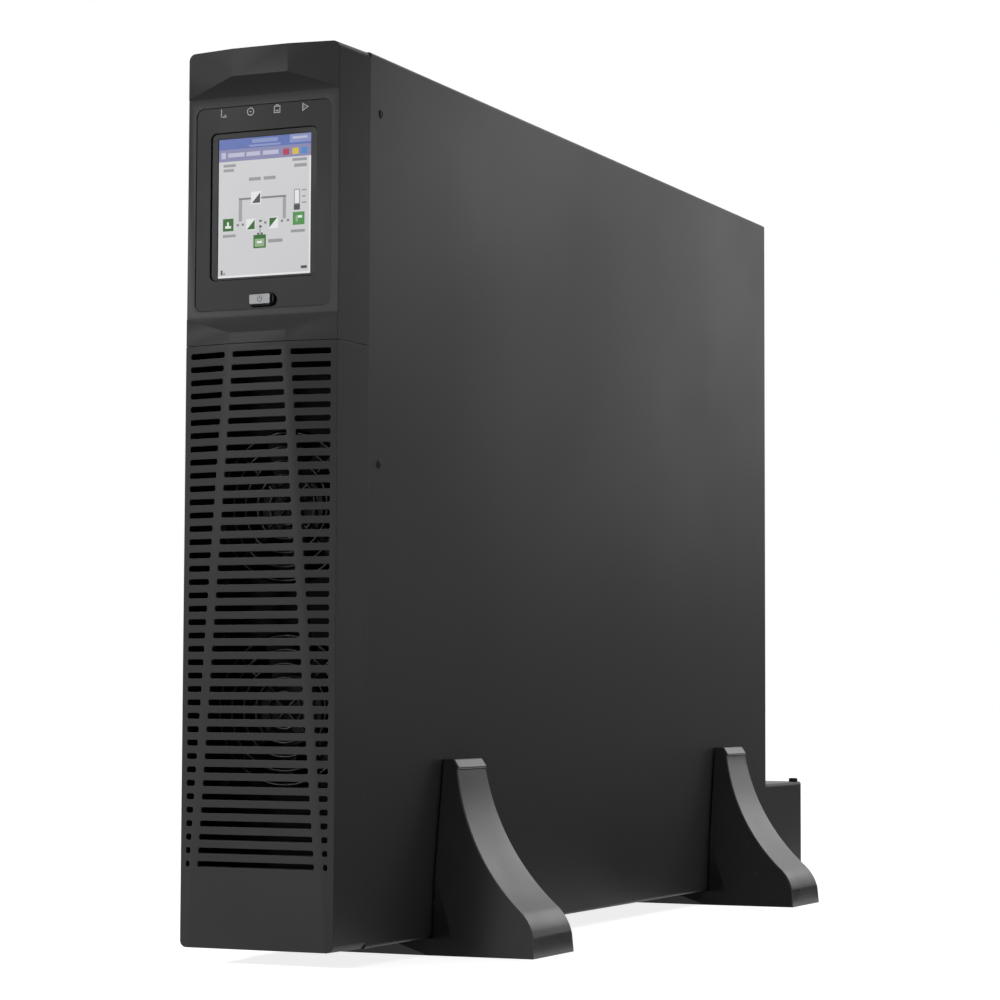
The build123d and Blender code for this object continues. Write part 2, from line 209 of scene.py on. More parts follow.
@dataclass(frozen=True)
class GrainedSurface(Finish):
    """Moulded plastic or sprayed paint: fine grain, slow drift of tone, pale worn edges and, where set,
    painted shade on sides and undersides.
    """

    pale: str = "#404042"
    worn: str = "#5a5a5c"
    # A mould's grain is finer than this; it is drawn coarse enough to show in a close view.
    grain_mm: float = 0.35
    grain_depth_mm: float = 0.012
    grain_strength: float = 0.35
    drift_mm: float = 90.0
    edge_mm: float = 0.4
    edge_wear: float = 0.25
    roughness_spread: float = 0.06
    # Painted shade: a darker colour for sides and undersides, none where it is empty; and how glossy the
    # side walls are.
    painted_side_shade: str = ""
    polish: float = 0.5
    # Weight of the grain beside the drift, and the span of their sum that runs from colour to pale.
    grain_share: float = 0.45
    tone_span: Span = (0.45, 1.0)
    # Cosine between a face and its rounded edge over which the edge goes from new to worn.
    edge_span: Span = (0.98, 0.75)
    # Normals over which a wall turns into a shaded side, along X, and into a shaded underside, along Z.
    side_shade_and_polish_span: Span = (0.6, 0.9)
    under_shade_span: Span = (-0.2, -0.4)

    def dress(self, tree: Tree, shader: ShaderNode, place: Socket) -> None:
        """Link grain, drift, edge wear and any painted side shade to colour, roughness and normal.

        Args:
            tree: The material's node tree.
            shader: Its principled shader.
            place: Object coordinates, in metres.
        """
        drift, grain = (
            add_node(
                tree, "ShaderNodeTexNoise", {"Scale": 1 / (size * MM), "Detail": detail}, {"Vector": place}
            )
            for size, detail in ((self.drift_mm, 3.0), (self.grain_mm, 2.0))
        )
        rounded = add_node(tree, "ShaderNodeBevel", {"samples": 4, "Radius": self.edge_mm * MM}).outputs[0]
        tone = self.drifting_tone(tree, drift, grain)
        # Painted shade: sides and undersides are darker by the way each wall faces.
        if self.painted_side_shade:
            tone = self.shade_sides_and_undersides(tree, shader, tone)
        skin = self.worn_edges(tree, tone, rounded)
        rough_span = (self.roughness - self.roughness_spread, self.roughness + self.roughness_spread)
        rough = add_node(
            tree, "ShaderNodeMapRange", limits("From", NOISE_SPAN) | limits("To", rough_span),
            {"Value": drift.outputs["Fac"]},
        )
        bump = add_node(
            tree, "ShaderNodeBump",
            {"Strength": self.grain_strength, "Distance": self.grain_depth_mm * MM},
            {"Height": grain.outputs["Fac"], "Normal": rounded},
        )
        tree.links.new(skin.outputs[2], shader.inputs["Base Color"])
        tree.links.new(rough.outputs["Result"], shader.inputs["Roughness"])
        tree.links.new(bump.outputs["Normal"], shader.inputs["Normal"])

    def drifting_tone(self, tree: Tree, drift: ShaderNode, grain: ShaderNode) -> ShaderNode:
        """Let the colour drift towards its pale tone, finely broken by the grain.

        Args:
            tree: The material's node tree.
            drift: Slow noise.
            grain: Fine noise.

        Returns:
            Mix node with the colour.
        """
        blend = add_node(
            tree, "ShaderNodeMath", {"operation": "MULTIPLY_ADD", 1: self.grain_share},
            {0: grain.outputs["Fac"], 2: drift.outputs["Fac"]},
        )
        share = add_node(
            tree, "ShaderNodeMapRange", limits("From", self.tone_span), {"Value": blend.outputs[0]}
        )
        return add_node(
            tree, "ShaderNodeMix", {"data_type": "RGBA", 6: linear(self.colour), 7: linear(self.pale)},
            {0: share.outputs["Result"]},
        )

    def worn_edges(self, tree: Tree, tone: ShaderNode, rounded: Socket) -> ShaderNode:
        """Make the colour paler along the edges, where handling wears them.

        Args:
            tree: The material's node tree.
            tone: Mix node with the colour of the faces.
            rounded: Normal that is rounded at the edges.

        Returns:
            Mix node with both colours.
        """
        flat = add_node(tree, "ShaderNodeNewGeometry").outputs["Normal"]
        facing = add_node(
            tree, "ShaderNodeVectorMath", {"operation": "DOT_PRODUCT"}, {0: rounded, 1: flat}
        )
        edge = add_node(
            tree, "ShaderNodeMapRange",
            limits("From", self.edge_span) | limits("To", (0.0, self.edge_wear)),
            {"Value": facing.outputs["Value"]},
        )
        return add_node(
            tree, "ShaderNodeMix", {"data_type": "RGBA", 7: linear(self.worn)},
            {0: edge.outputs["Result"], 6: tone.outputs[2]},
        )

    def shade_sides_and_undersides(self, tree: Tree, shader: ShaderNode, tone: ShaderNode) -> ShaderNode:
        """Paint shade on a moulding's sides and undersides: a darker colour chosen by the way each wall
        faces.

        The side walls are also more polished.

        Args:
            tree: The material's node tree.
            shader: Its principled shader.
            tone: Mix node with the colour of the grained faces.

        Returns:
            Mix node with both colours.
        """
        axes = add_node(
            tree, "ShaderNodeSeparateXYZ",
            links={0: add_node(tree, "ShaderNodeNewGeometry").outputs["True Normal"]},
        )
        across = add_node(tree, "ShaderNodeMath", {"operation": "ABSOLUTE"}, {0: axes.outputs["X"]})
        side = add_node(
            tree, "ShaderNodeMapRange", limits("From", self.side_shade_and_polish_span), {"Value": across.outputs[0]}
        )
        under_shade = add_node(
            tree, "ShaderNodeMapRange", limits("From", self.under_shade_span), {"Value": axes.outputs["Z"]}
        )
        shade_share = add_node(
            tree, "ShaderNodeMath", {"operation": "MAXIMUM"},
            {0: side.outputs["Result"], 1: under_shade.outputs["Result"]},
        )
        sheen = add_node(
            tree, "ShaderNodeMapRange", limits("To", (self.gloss, self.polish)),
            {"Value": side.outputs["Result"]},
        )
        tree.links.new(sheen.outputs["Result"], shader.inputs["Specular IOR Level"])
        return add_node(
            tree, "ShaderNodeMix", {"data_type": "RGBA", 7: linear(self.painted_side_shade)},
            {0: shade_share.outputs[0], 6: tone.outputs[2]},
        )


@dataclass(frozen=True)
class PlatedMetal(Finish):
    """Plated or turned metal: drawn lines along one axis and small changes of gloss."""

    pale: str = "#c8c9cb"
    line_mm: float = 0.12
    line_length_mm: float = 6.0
    line_depth_mm: float = 0.01
    line_strength: float = 0.2
    roughness_shares: Span = (0.8, 1.25)

    def dress(self, tree: Tree, shader: ShaderNode, place: Socket) -> None:
        """Link drawn lines to colour, roughness and normal.

        Args:
            tree: The material's node tree.
            shader: Its principled shader.
            place: Object coordinates, in metres.
        """
        along = 1 / (self.line_length_mm * MM)
        across = 1 / (self.line_mm * MM)
        stretched = add_node(
            tree, "ShaderNodeMapping", {"Scale": (along, across, across)}, {"Vector": place}
        )
        lines = add_node(
            tree, "ShaderNodeTexNoise", {"Scale": 1.0, "Detail": 2.0}, {"Vector": stretched.outputs[0]}
        )
        tone = add_node(
            tree, "ShaderNodeMix", {"data_type": "RGBA", 6: linear(self.colour), 7: linear(self.pale)},
            {0: lines.outputs["Fac"]},
        )
        smoothest, roughest = (share * self.roughness for share in self.roughness_shares)
        rough = add_node(
            tree, "ShaderNodeMapRange", limits("From", NOISE_SPAN) | limits("To", (smoothest, roughest)),
            {"Value": lines.outputs["Fac"]},
        )
        bump = add_node(
            tree, "ShaderNodeBump", {"Strength": self.line_strength, "Distance": self.line_depth_mm * MM},
            {"Height": lines.outputs["Fac"]},
        )
        tree.links.new(tone.outputs[2], shader.inputs["Base Color"])
        tree.links.new(rough.outputs["Result"], shader.inputs["Roughness"])
        tree.links.new(bump.outputs["Normal"], shader.inputs["Normal"])


@dataclass(frozen=True)
class LitPixels(Finish):
    """Lit part of a colour screen: a glow of its own colour, woven by rows and columns of pixels."""

    roughness: float = 0.25
    gloss: float = 0.02
    glow: float = 0.88
    unlit: str = "#101012"
    pixel_mm: float = 0.24
    pixel_contrast: float = 0.06
    # Weight of the pixels beside the backlight's drift, and the span of their sum that shows.
    pixel_share: float = 0.5
    level_span: Span = (0.3, 1.0)
    drift_mm: float = 30.0

    def dress(self, tree: Tree, shader: ShaderNode, place: Socket) -> None:
        """Link the pixel grid and the backlight's unevenness to the glow.

        Args:
            tree: The material's node tree.
            shader: Its principled shader.
            place: Object coordinates, in metres.
        """
        scale = WAVE_PERIOD / (self.pixel_mm * MM)
        columns, rows = (
            add_node(tree, "ShaderNodeTexWave", {"bands_direction": axis, "Scale": scale}, {"Vector": place})
            for axis in ("X", "Z")
        )
        grid = add_node(
            tree, "ShaderNodeMath", {"operation": "MULTIPLY"},
            {0: columns.outputs["Fac"], 1: rows.outputs["Fac"]},
        )
        drift = add_node(
            tree, "ShaderNodeTexNoise", {"Scale": 1 / (self.drift_mm * MM), "Detail": 1.0}, {"Vector": place}
        )
        level = add_node(
            tree, "ShaderNodeMath", {"operation": "MULTIPLY_ADD", 1: self.pixel_share},
            {0: grid.outputs[0], 2: drift.outputs["Fac"]},
        )
        share = add_node(
            tree, "ShaderNodeMapRange",
            limits("From", self.level_span) | limits("To", (self.pixel_contrast, 0.0)),
            {"Value": level.outputs[0]},
        )
        tone = add_node(
            tree, "ShaderNodeMix", {"data_type": "RGBA", 6: linear(self.colour), 7: linear(self.unlit)},
            {0: share.outputs["Result"]},
        )
        shader.inputs["Base Color"].default_value = linear(self.unlit)
        shader.inputs["Emission Strength"].default_value = self.glow
        tree.links.new(tone.outputs[2], shader.inputs["Emission Color"])


@dataclass(frozen=True)
class PrintedInk(Finish):
    """Screen-printed mark: a thin film of ink that thins out a little over the grain below."""

    thin: str = "#8c8c8e"
    grain_mm: float = 0.3
    grain_depth_mm: float = 0.01
    grain_strength: float = 0.2

    def dress(self, tree: Tree, shader: ShaderNode, place: Socket) -> None:
        """Link the film's thin spots to colour and normal.

        Args:
            tree: The material's node tree.
            shader: Its principled shader.
            place: Object coordinates, in metres.
        """
        grain = add_node(
            tree, "ShaderNodeTexNoise", {"Scale": 1 / (self.grain_mm * MM), "Detail": 3.0}, {"Vector": place}
        )
        tone = add_node(
            tree, "ShaderNodeMix", {"data_type": "RGBA", 6: linear(self.colour), 7: linear(self.thin)},
            {0: grain.outputs["Fac"]},
        )
        bump = add_node(
            tree, "ShaderNodeBump",
            {"Strength": self.grain_strength, "Distance": self.grain_depth_mm * MM},
            {"Height": grain.outputs["Fac"]},
        )
        tree.links.new(tone.outputs[2], shader.inputs["Base Color"])
        tree.links.new(bump.outputs["Normal"], shader.inputs["Normal"])


# Polyester powder coat on folded steel: a matt charcoal skin with a slight orange peel.
POWDER_COAT = GrainedSurface(
    "charcoal_powder_coat", "#303032", 0.4, gloss=0.1, pale="#38383a", worn="#57575a",
    grain_mm=0.7, grain_depth_mm=0.02, grain_strength=0.3, drift_mm=160.0, edge_mm=0.5, edge_wear=0.2,
)
# The bulkhead behind the grille is near black, darker than the case: painted shade, so that the slots look
# into the dark.
BULKHEAD_SHADE = GrainedSurface(
    "bulkhead_painted_shade", "#0d0d0e", 0.6, gloss=0.02, pale="#121213", worn="#262627",
    grain_mm=0.7, grain_depth_mm=0.02, drift_mm=80.0, edge_mm=0.4, edge_wear=0.1,
)
# Spark-eroded ABS of the bezel: a fine even grain that spreads the light into soft facets,
# and painted shade that keeps the sides and undersides darker.
BEZEL_ABS = GrainedSurface(
    "bezel_grained_abs", "#2b2b2c", 0.38, gloss=0.03, pale="#313132", worn="#58585a",
    grain_mm=0.4, drift_mm=120.0, edge_mm=0.45, edge_wear=0.35, painted_side_shade="#262627", polish=0.2,
)
# The fascia's ABS has a finer grain and is a shade darker than the bezel round it.
FASCIA_ABS = GrainedSurface(
    "fascia_satin_abs", "#282829", 0.45, gloss=0.04, pale="#2d2d2e", worn="#505052",
    grain_mm=0.3, grain_strength=0.2, drift_mm=70.0, edge_mm=0.35, edge_wear=0.3,
)
# Ledge round the screen, moulded like the fascia: it lies in the window's own shade.
SCREEN_LEDGE_ABS = GrainedSurface(
    "screen_ledge_abs", "#2a2a2b", 0.45, gloss=0.05, pale="#2f2f30", worn="#48484a",
    grain_mm=0.3, grain_strength=0.2, drift_mm=40.0, edge_mm=0.3, edge_wear=0.2,
)
# Black polycarbonate of the button's body: smooth and nearly black, so that the cap stands out.
BUTTON_PC = GrainedSurface(
    "button_black_pc", "#161617", 0.45, gloss=0.05, pale="#1c1c1d", worn="#3a3a3c",
    grain_mm=0.25, grain_strength=0.1, drift_mm=12.0, edge_mm=0.3, edge_wear=0.2,
)
# Injection-moulded ABS of the stands: near black, satin, so the hollow curve takes a long sheen.
STAND_ABS = GrainedSurface(
    "stand_satin_abs", "#2a2a2c", 0.24, gloss=0.42, pale="#303032", worn="#58585a",
    grain_mm=0.3, grain_strength=0.15, drift_mm=60.0, edge_mm=0.5, edge_wear=0.2,
)
# Glass-filled PBT of the fans: dull black with a dry, fibrous grain.
FAN_PBT = GrainedSurface(
    "fan_black_pbt", "#141415", 0.6, gloss=0.1, pale="#1a1a1b", worn="#303031",
    grain_mm=0.5, drift_mm=30.0, edge_mm=0.3, edge_wear=0.2,
)
# Phenolic and nylon of the connectors: black with a faint shine.
CONNECTOR_NYLON = GrainedSurface(
    "connector_black_nylon", "#1e1e20", 0.42, pale="#262628", worn="#4a4a4c",
    grain_mm=0.4, drift_mm=25.0, edge_mm=0.35, edge_wear=0.3,
)
# Green PBT of a plug-in terminal block: an even mid green with a soft shine.
TERMINAL_GREEN_PBT = GrainedSurface(
    "terminal_green_pbt", "#2f7d43", 0.45, pale="#388a4c", worn="#6fae7c",
    grain_mm=0.4, drift_mm=15.0, edge_mm=0.3, edge_wear=0.3,
)
# Silver-grey lacquer on the button's cap: a flat mid grey with fine flake.
SILVER_LACQUER = GrainedSurface(
    "silver_lacquered_cap", "#5b5c5e", 0.4, gloss=0.3, pale="#656669", worn="#a4a5a8",
    grain_mm=0.2, grain_strength=0.1, drift_mm=8.0, edge_mm=0.3, edge_wear=0.4,
)
# Nickel-plated spring wire of the fan guards, its colour darkened as painted shade for the dark behind the
# slots: a narrow highlight on each wire.
GUARD_NICKEL_SHADED = PlatedMetal("nickel_guard_wire_shaded", "#2b2c2e", 0.45, metallic=1.0, pale="#38393b")
# Black zinc screws: dark metal that shows its drive recess by a thin highlight.
BLACK_ZINC = PlatedMetal(
    "black_zinc_screw", "#1c1c1e", 0.45, metallic=1.0, pale="#28282a", line_mm=0.2, line_length_mm=0.6
)
# Bright zinc of the port shell and its nuts: a pale, cool shine.
BRIGHT_ZINC = PlatedMetal("bright_zinc_shell", "#9fa1a4", 0.3, metallic=1.0, pale="#c0c2c5")
# Tinned brass contacts, warm and bright inside the dark sockets.
CONTACT_BRASS = PlatedMetal("tinned_brass_contact", "#b79a5b", 0.32, metallic=1.0, pale="#cbb478")
# Grey screen print of the indicator marks: thin signs, a little paler than the fascia.
GREY_PRINT = PrintedInk("pale_grey_print", "#6c6c6e", 0.5, thin="#58585a")
# Dark grey print on the silver cap: a sign that shows by its tone alone.
DARK_PRINT = PrintedInk("dark_grey_print", "#3c3d40", 0.5, gloss=0.2, thin="#48494c")


class Ink(Enum):
    """Colours of the lit screen, each a finish of its own."""

    PAGE = LitPixels("screen_page_grey", "#d6d6d8")
    HEADER = LitPixels("screen_header_blue", "#5b70b5")
    HEADER_PALE = LitPixels("screen_header_pale", "#8996c6")
    STATUS = LitPixels("screen_status_lavender", "#898ab2")
    STATUS_PALE = LitPixels("screen_status_pale", "#c0c1d8")
    WHITE = LitPixels("screen_white", "#f1f1f4")
    TEXT = LitPixels("screen_text_grey", "#9c9d9f")
    LINE = LitPixels("screen_line_grey", "#a4a5a7")
    RULE = LitPixels("screen_rule_grey", "#808183")
    DARK = LitPixels("screen_dark_grey", "#4c4d50")
    GREEN = LitPixels("screen_mains_green", "#256a1c")
    MID_GREEN = LitPixels("screen_load_green", "#4c944a")
    LEAF = LitPixels("screen_leaf_green", "#94b486")
    RED = LitPixels("screen_status_red", "#b8324e")
    YELLOW = LitPixels("screen_status_yellow", "#dcbd3c")
    BLUE = LitPixels("screen_status_blue", "#4a8ac8")


def focus(piece: Piece) -> None:
    """Select one piece alone and make it active.

    Args:
        piece: The mesh object.
    """
    bpy.ops.object.select_all(action="DESELECT")
    piece.select_set(True)
    bpy.context.view_layer.objects.active = piece


@contextmanager
def edit_mode(piece: Piece) -> Iterator[EditMesh]:
    """Open a piece in edit mode with nothing selected, and close it again.

    Args:
        piece: The mesh object to shape.

    Yields:
        Its edit mesh, to select faces and edges in.
    """
    focus(piece)
    bpy.ops.object.mode_set(mode="EDIT")
    bpy.ops.mesh.select_mode(type="FACE")
    bpy.ops.mesh.select_all(action="DESELECT")
    yield bmesh.from_edit_mesh(piece.data)
    bpy.ops.object.mode_set(mode="OBJECT")


def select_faces(mesh: EditMesh, test: Callable[[Face], bool]) -> None:
    """Select the faces that pass a test.

    Args:
        mesh: Edit mesh of the piece in edit mode.
        test: Says whether a face is wanted.
    """
    for face in mesh.faces:
        face.select_set(test(face))
    mesh.select_flush_mode()


def select_edges(mesh: EditMesh, test: Callable[[Edge], bool]) -> None:
    """Go over to edges and select the ones that pass a test.

    Args:
        mesh: Edit mesh of the piece in edit mode.
        test: Says whether an edge is wanted.
    """
    wanted = [edge.index for edge in mesh.edges if test(edge)]
    bpy.ops.mesh.select_mode(type="EDGE")
    mesh.edges.ensure_lookup_table()
    for index in wanted:
        mesh.edges[index].select_set(True)


def looks_up(face: Face) -> bool:
    """Say whether a face is level and looks up."""
    return face.normal.z > 0.99


def looks_rearward(face: Face) -> bool:
    """Say whether a face looks towards the rear."""
    return face.normal.y > 0.5


def settle(piece: Piece, name: str) -> Piece:
    """Put a piece's place, turn and scale into its mesh and name it.

    Args:
        piece: The mesh object.
        name: Its name from now on.

    Returns:
        The same object, at the origin.
    """
    focus(piece)
    bpy.ops.object.transform_apply(location=True, rotation=True, scale=True)
    piece.name = name
    piece.data.name = name
    return piece


def primitive(
    add: Callable[..., set[str]], name: str, stretch: Point = (1.0, 1.0, 1.0), **settings: Any
) -> Piece:
    """Add a primitive with nothing else selected, to be shaped further.

    Args:
        add: Blender's operator for the primitive.
        name: Name of the new piece.
        stretch: Scale along its own axes.
        **settings: The operator's own settings.

    Returns:
        The new piece, with its size and place in its mesh.
    """
    bpy.ops.object.select_all(action="DESELECT")
    add(**settings)
    piece = bpy.context.active_object
    piece.scale = stretch
    return settle(piece, name)


def apply_modifier(piece: Piece, kind: str, settings: Mapping[str, Any]) -> None:
    """Add a modifier, set it and apply it.

    Args:
        piece: The mesh object.
        kind: Blender's name for the modifier type.
        settings: Values by property name.
    """
    focus(piece)
    modifier = piece.modifiers.new(kind.title(), kind)
    for key, value in settings.items():
        setattr(modifier, key, value)
    bpy.ops.object.modifier_apply(modifier=modifier.name)


def round_edges(piece: Piece, width_mm: float, angle: float) -> None:
    """Round every edge sharper than an angle.

    Args:
        piece: The mesh object.
        width_mm: Width of the rounding, in millimetres.
        angle: Smallest angle between two faces that counts as an edge, in degrees.
    """
    apply_modifier(piece, "BEVEL", {
        "width": width_mm * MM, "segments": 2, "limit_method": "ANGLE",
        "angle_limit": math.radians(angle), "use_clamp_overlap": True,
    })


def smooth(piece: Piece, angle: float = 30.0) -> None:
    """Shade a piece smoothly, with sharp edges above an angle in degrees."""
    focus(piece)
    bpy.ops.object.shade_smooth_by_angle(angle=math.radians(angle))


def join(pieces: Sequence[Piece], name: str) -> Piece:
    """Join pieces into one.

    Args:
        pieces: Mesh objects at the origin.
        name: Name of the joined piece.

    Returns:
        The joined object.
    """
    focus(pieces[0])
    for piece in pieces[1:]:
        piece.select_set(True)
    if len(pieces) > 1:
        bpy.ops.object.join()
    return settle(pieces[0], name)


def copy_at(master: Piece, name: str, place: Matrix) -> Piece:
    """Copy a piece with a mesh of its own, its new place put into that mesh.

    Args:
        master: The piece that was modelled once.
        name: Name of the copy.
        place: Where the copy goes.

    Returns:
        The copy, its object at the origin.
    """
    copy = master.copy()
    copy.data = master.data.copy()
    copy.name = name
    copy.data.name = name
    copy.data.transform(place)
    bpy.context.scene.collection.objects.link(copy)
    return copy


def discard(piece: Piece) -> None:
    """Remove a piece that has done its work."""
    bpy.data.objects.remove(piece, do_unlink=True)


def ride(piece: Piece, body: Body) -> Piece:
    """Hang a finished piece on its CAD body and report it.

    Args:
        piece: The finished mesh object.
        body: Body that it moves with.

    Returns:
        The same object.
    """
    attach(piece, body.value)
    LOG.info("%s: %d faces on %s", piece.name, len(piece.data.polygons), body.value)
    return piece


def on_node(node: str, rear: bool, across: float = 0.5) -> Vector:
    """Find a seat on the front or the rear of a CAD node, at half its height.

    Args:
        node: Name of the node.
        rear: True for its rear, False for its front.
        across: Share of its width, from its left.

    Returns:
        The seat, in metres.
    """
    low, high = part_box(node)
    return Vector((low.x + across * (high.x - low.x), (high if rear else low).y, (low.z + high.z) / 2))


def stand_out(outline: Piece, middle: Vector, thickness: float, turn: float) -> Piece:
    """Give a flat outline its thickness and stand it up to face the front.

    Args:
        outline: Flat mesh in the plane Z = 0.
        middle: Where the middle of its back face goes, in metres.
        thickness: How far it stands out towards the front, in metres.
        turn: Turn about Y, in degrees.

    Returns:
        The same piece, at the origin.
    """
    with edit_mode(outline):
        bpy.ops.mesh.select_all(action="SELECT")
        bpy.ops.mesh.extrude_region_move(TRANSFORM_OT_translate={"value": (0, 0, thickness)})
    spin = Matrix.Rotation(math.radians(turn), 4, "Y")
    outline.data.transform(Matrix.Translation(middle) @ spin @ Matrix.Rotation(math.pi / 2, 4, "X"))
    return outline


def slab(
    middle: Vector, width: float, height: float, thickness: float, turn: float = 0.0, diagonal: int = 0
) -> Piece:
    """Thin plate that faces the front, drawn out of a plane.

    Args:
        middle: Middle of its back face, in metres.
        width: Size along X, in metres.
        height: Size along Z, in metres.
        thickness: How far it stands out towards the front, in metres.
        turn: Turn about Y, in degrees.
        diagonal: 1 keeps the upper left half, -1 the lower right half, 0 keeps it whole.

    Returns:
        The plate, at the origin.
    """
    plate = primitive(bpy.ops.mesh.primitive_plane_add, "slab", (width, height, 1.0), size=1.0)
    if diagonal:
        with edit_mode(plate) as mesh:
            bpy.ops.mesh.select_mode(type="VERT")
            for corner in mesh.verts:
                corner.select_set(corner.co.x * diagonal > 0 > corner.co.y * diagonal)
            bpy.ops.mesh.delete(type="VERT")
            bpy.ops.mesh.select_all(action="SELECT")
            bpy.ops.mesh.edge_face_add()
    return stand_out(plate, middle, thickness, turn)


def hoop(
    middle: Vector, radius: float, width: float, thickness: float, corners: int = 40, turn: float = 0.0
) -> Piece:
    """Thin ring or polygon outline that faces the front.

    Args:
        middle: Middle of its back face, in metres.
        radius: Outer radius, in metres.
        width: Width of the line, in metres.
        thickness: How far it stands out towards the front, in metres.
        corners: Number of corners; a ring has many.
        turn: Turn about Y, in degrees.

    Returns:
        The outline, at the origin.
    """
    outline = primitive(
        bpy.ops.mesh.primitive_circle_add, "hoop", vertices=corners, radius=radius, fill_type="NGON"
    )
    with edit_mode(outline):
        bpy.ops.mesh.select_all(action="SELECT")
        bpy.ops.mesh.inset(thickness=width)
        bpy.ops.mesh.delete(type="FACE")
    return stand_out(outline, middle, thickness, turn)


@dataclass(frozen=True)
class Moulding:
    """Moulded CAD node, replaced by a copy with the rounded edges that a mould leaves."""

    node: str
    finish: Finish
    slot: str
    # Width of the rounded edges; the ones that are hidden or seated on another piece stay sharp.
    edge: float
    stays_sharp: Callable[[Edge], bool]
    segments: int = 2
    # Radius in the corners of slots through the front, none where it is 0.
    slot_corner: float = 0.0
    slot_segments: int = 4
    # Slots keep this far from the sides, and the front wall lies within this depth.
    slot_margin: float = 3.0
    front_depth: float = 12.0
    # Hidden edges shorter than this share of the slot corner are stubs.
    stub_share: float = 0.7
    # Corners closer than this are one corner.
    weld: float = 0.002
    # Angles between faces, in degrees: below the first they are one flat, below the second they
    # run on smoothly, below the third they meet in a crisp fold, and above it in an edge.
    flat_angle: float = 0.2
    fold_angle: float = 6.0
    edge_angle: float = 30.0

    def replace(self, nodes: CadNodes) -> Piece:
        """Put the softened copy in the node's place.

        Args:
            nodes: CAD nodes by name.

        Returns:
            The copy, painted.
        """
        copy = self.finish.paint(self.soften(nodes[self.node]))
        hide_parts(self.node)
        return ride(copy, Body.UNIT)

    def soften(self, node: Piece) -> Piece:
        """Copy the node, round its edges and keep its folds crisp.

        Args:
            node: The CAD node's object.

        Returns:
            The copy, at the origin.
        """
        copy = copy_at(node, f"{self.node}_moulded", Matrix.Identity(4))
        copy.parent = None
        copy.matrix_world = Matrix.Identity(4)
        focus(copy)
        bpy.ops.mesh.customdata_custom_splitnormals_clear()
        with edit_mode(copy):
            bpy.ops.mesh.select_all(action="SELECT")
            bpy.ops.mesh.remove_doubles(threshold=self.weld * MM)
            bpy.ops.mesh.dissolve_limited(angle_limit=math.radians(self.flat_angle))
        fold, sharp = math.radians(self.fold_angle), math.radians(self.edge_angle)
        with edit_mode(copy) as mesh:
            select_edges(mesh, lambda edge: fold < edge.calc_face_angle(0.0) < sharp)
            bpy.ops.mesh.mark_sharp()
        if self.slot_corner:
            self.round_slots(copy)
        with edit_mode(copy) as mesh:
            select_edges(
                mesh, lambda edge: edge.calc_face_angle(0.0) >= sharp and not self.stays_sharp(edge)
            )
            self.bevel_selected(self.edge, self.segments)
        smooth(copy)
        apply_modifier(copy, "WEIGHTED_NORMAL", {"weight": 100, "keep_sharp": True})
        return copy

    def bevel_selected(self, width_mm: float, segments: int) -> None:
        """Round the selected edges to a width in millimetres."""
        bpy.ops.mesh.bevel(offset=width_mm * MM, segments=segments, affect="EDGES", clamp_overlap=True)

    def round_slots(self, copy: Piece) -> None:
        """Round the inner corners of the slots through the front.

        The folds of the front wall's hidden rear face meet the slots close to their corners. Those
        stubs are collapsed first, because a bevel is never wider than the shortest edge beside it.

        Args:
            copy: The copy of the node.
        """
        corners = [corner.co for corner in copy.data.vertices]
        reach = max(abs(corner.x) for corner in corners) - self.slot_margin * MM
        wall_end = min(corner.y for corner in corners) + self.front_depth * MM
        with edit_mode(copy) as mesh:
            select_faces(mesh, lambda face: looks_rearward(face) and face.calc_center_median().y < wall_end)
            bpy.ops.mesh.dissolve_degenerate(threshold=self.stub_share * self.slot_corner * MM)
        with edit_mode(copy) as mesh:
            select_edges(mesh, lambda edge: self.is_slot_corner(edge, reach))
            self.bevel_selected(self.slot_corner, self.slot_segments)

    def is_slot_corner(self, edge: Edge, reach: float) -> bool:
        """Say whether an edge is an inner corner of a slot that runs from front to back.

        Args:
            edge: Edge of the copy.
            reach: Half width that the slots stay within, in metres.

        Returns:
            True for the corner of a slot.
        """
        first, last = (end.co for end in edge.verts)
        front_to_back = abs((last - first).normalized().y) > 0.95
        return front_to_back and max(abs(first.x), abs(last.x)) < reach and not edge.is_convex


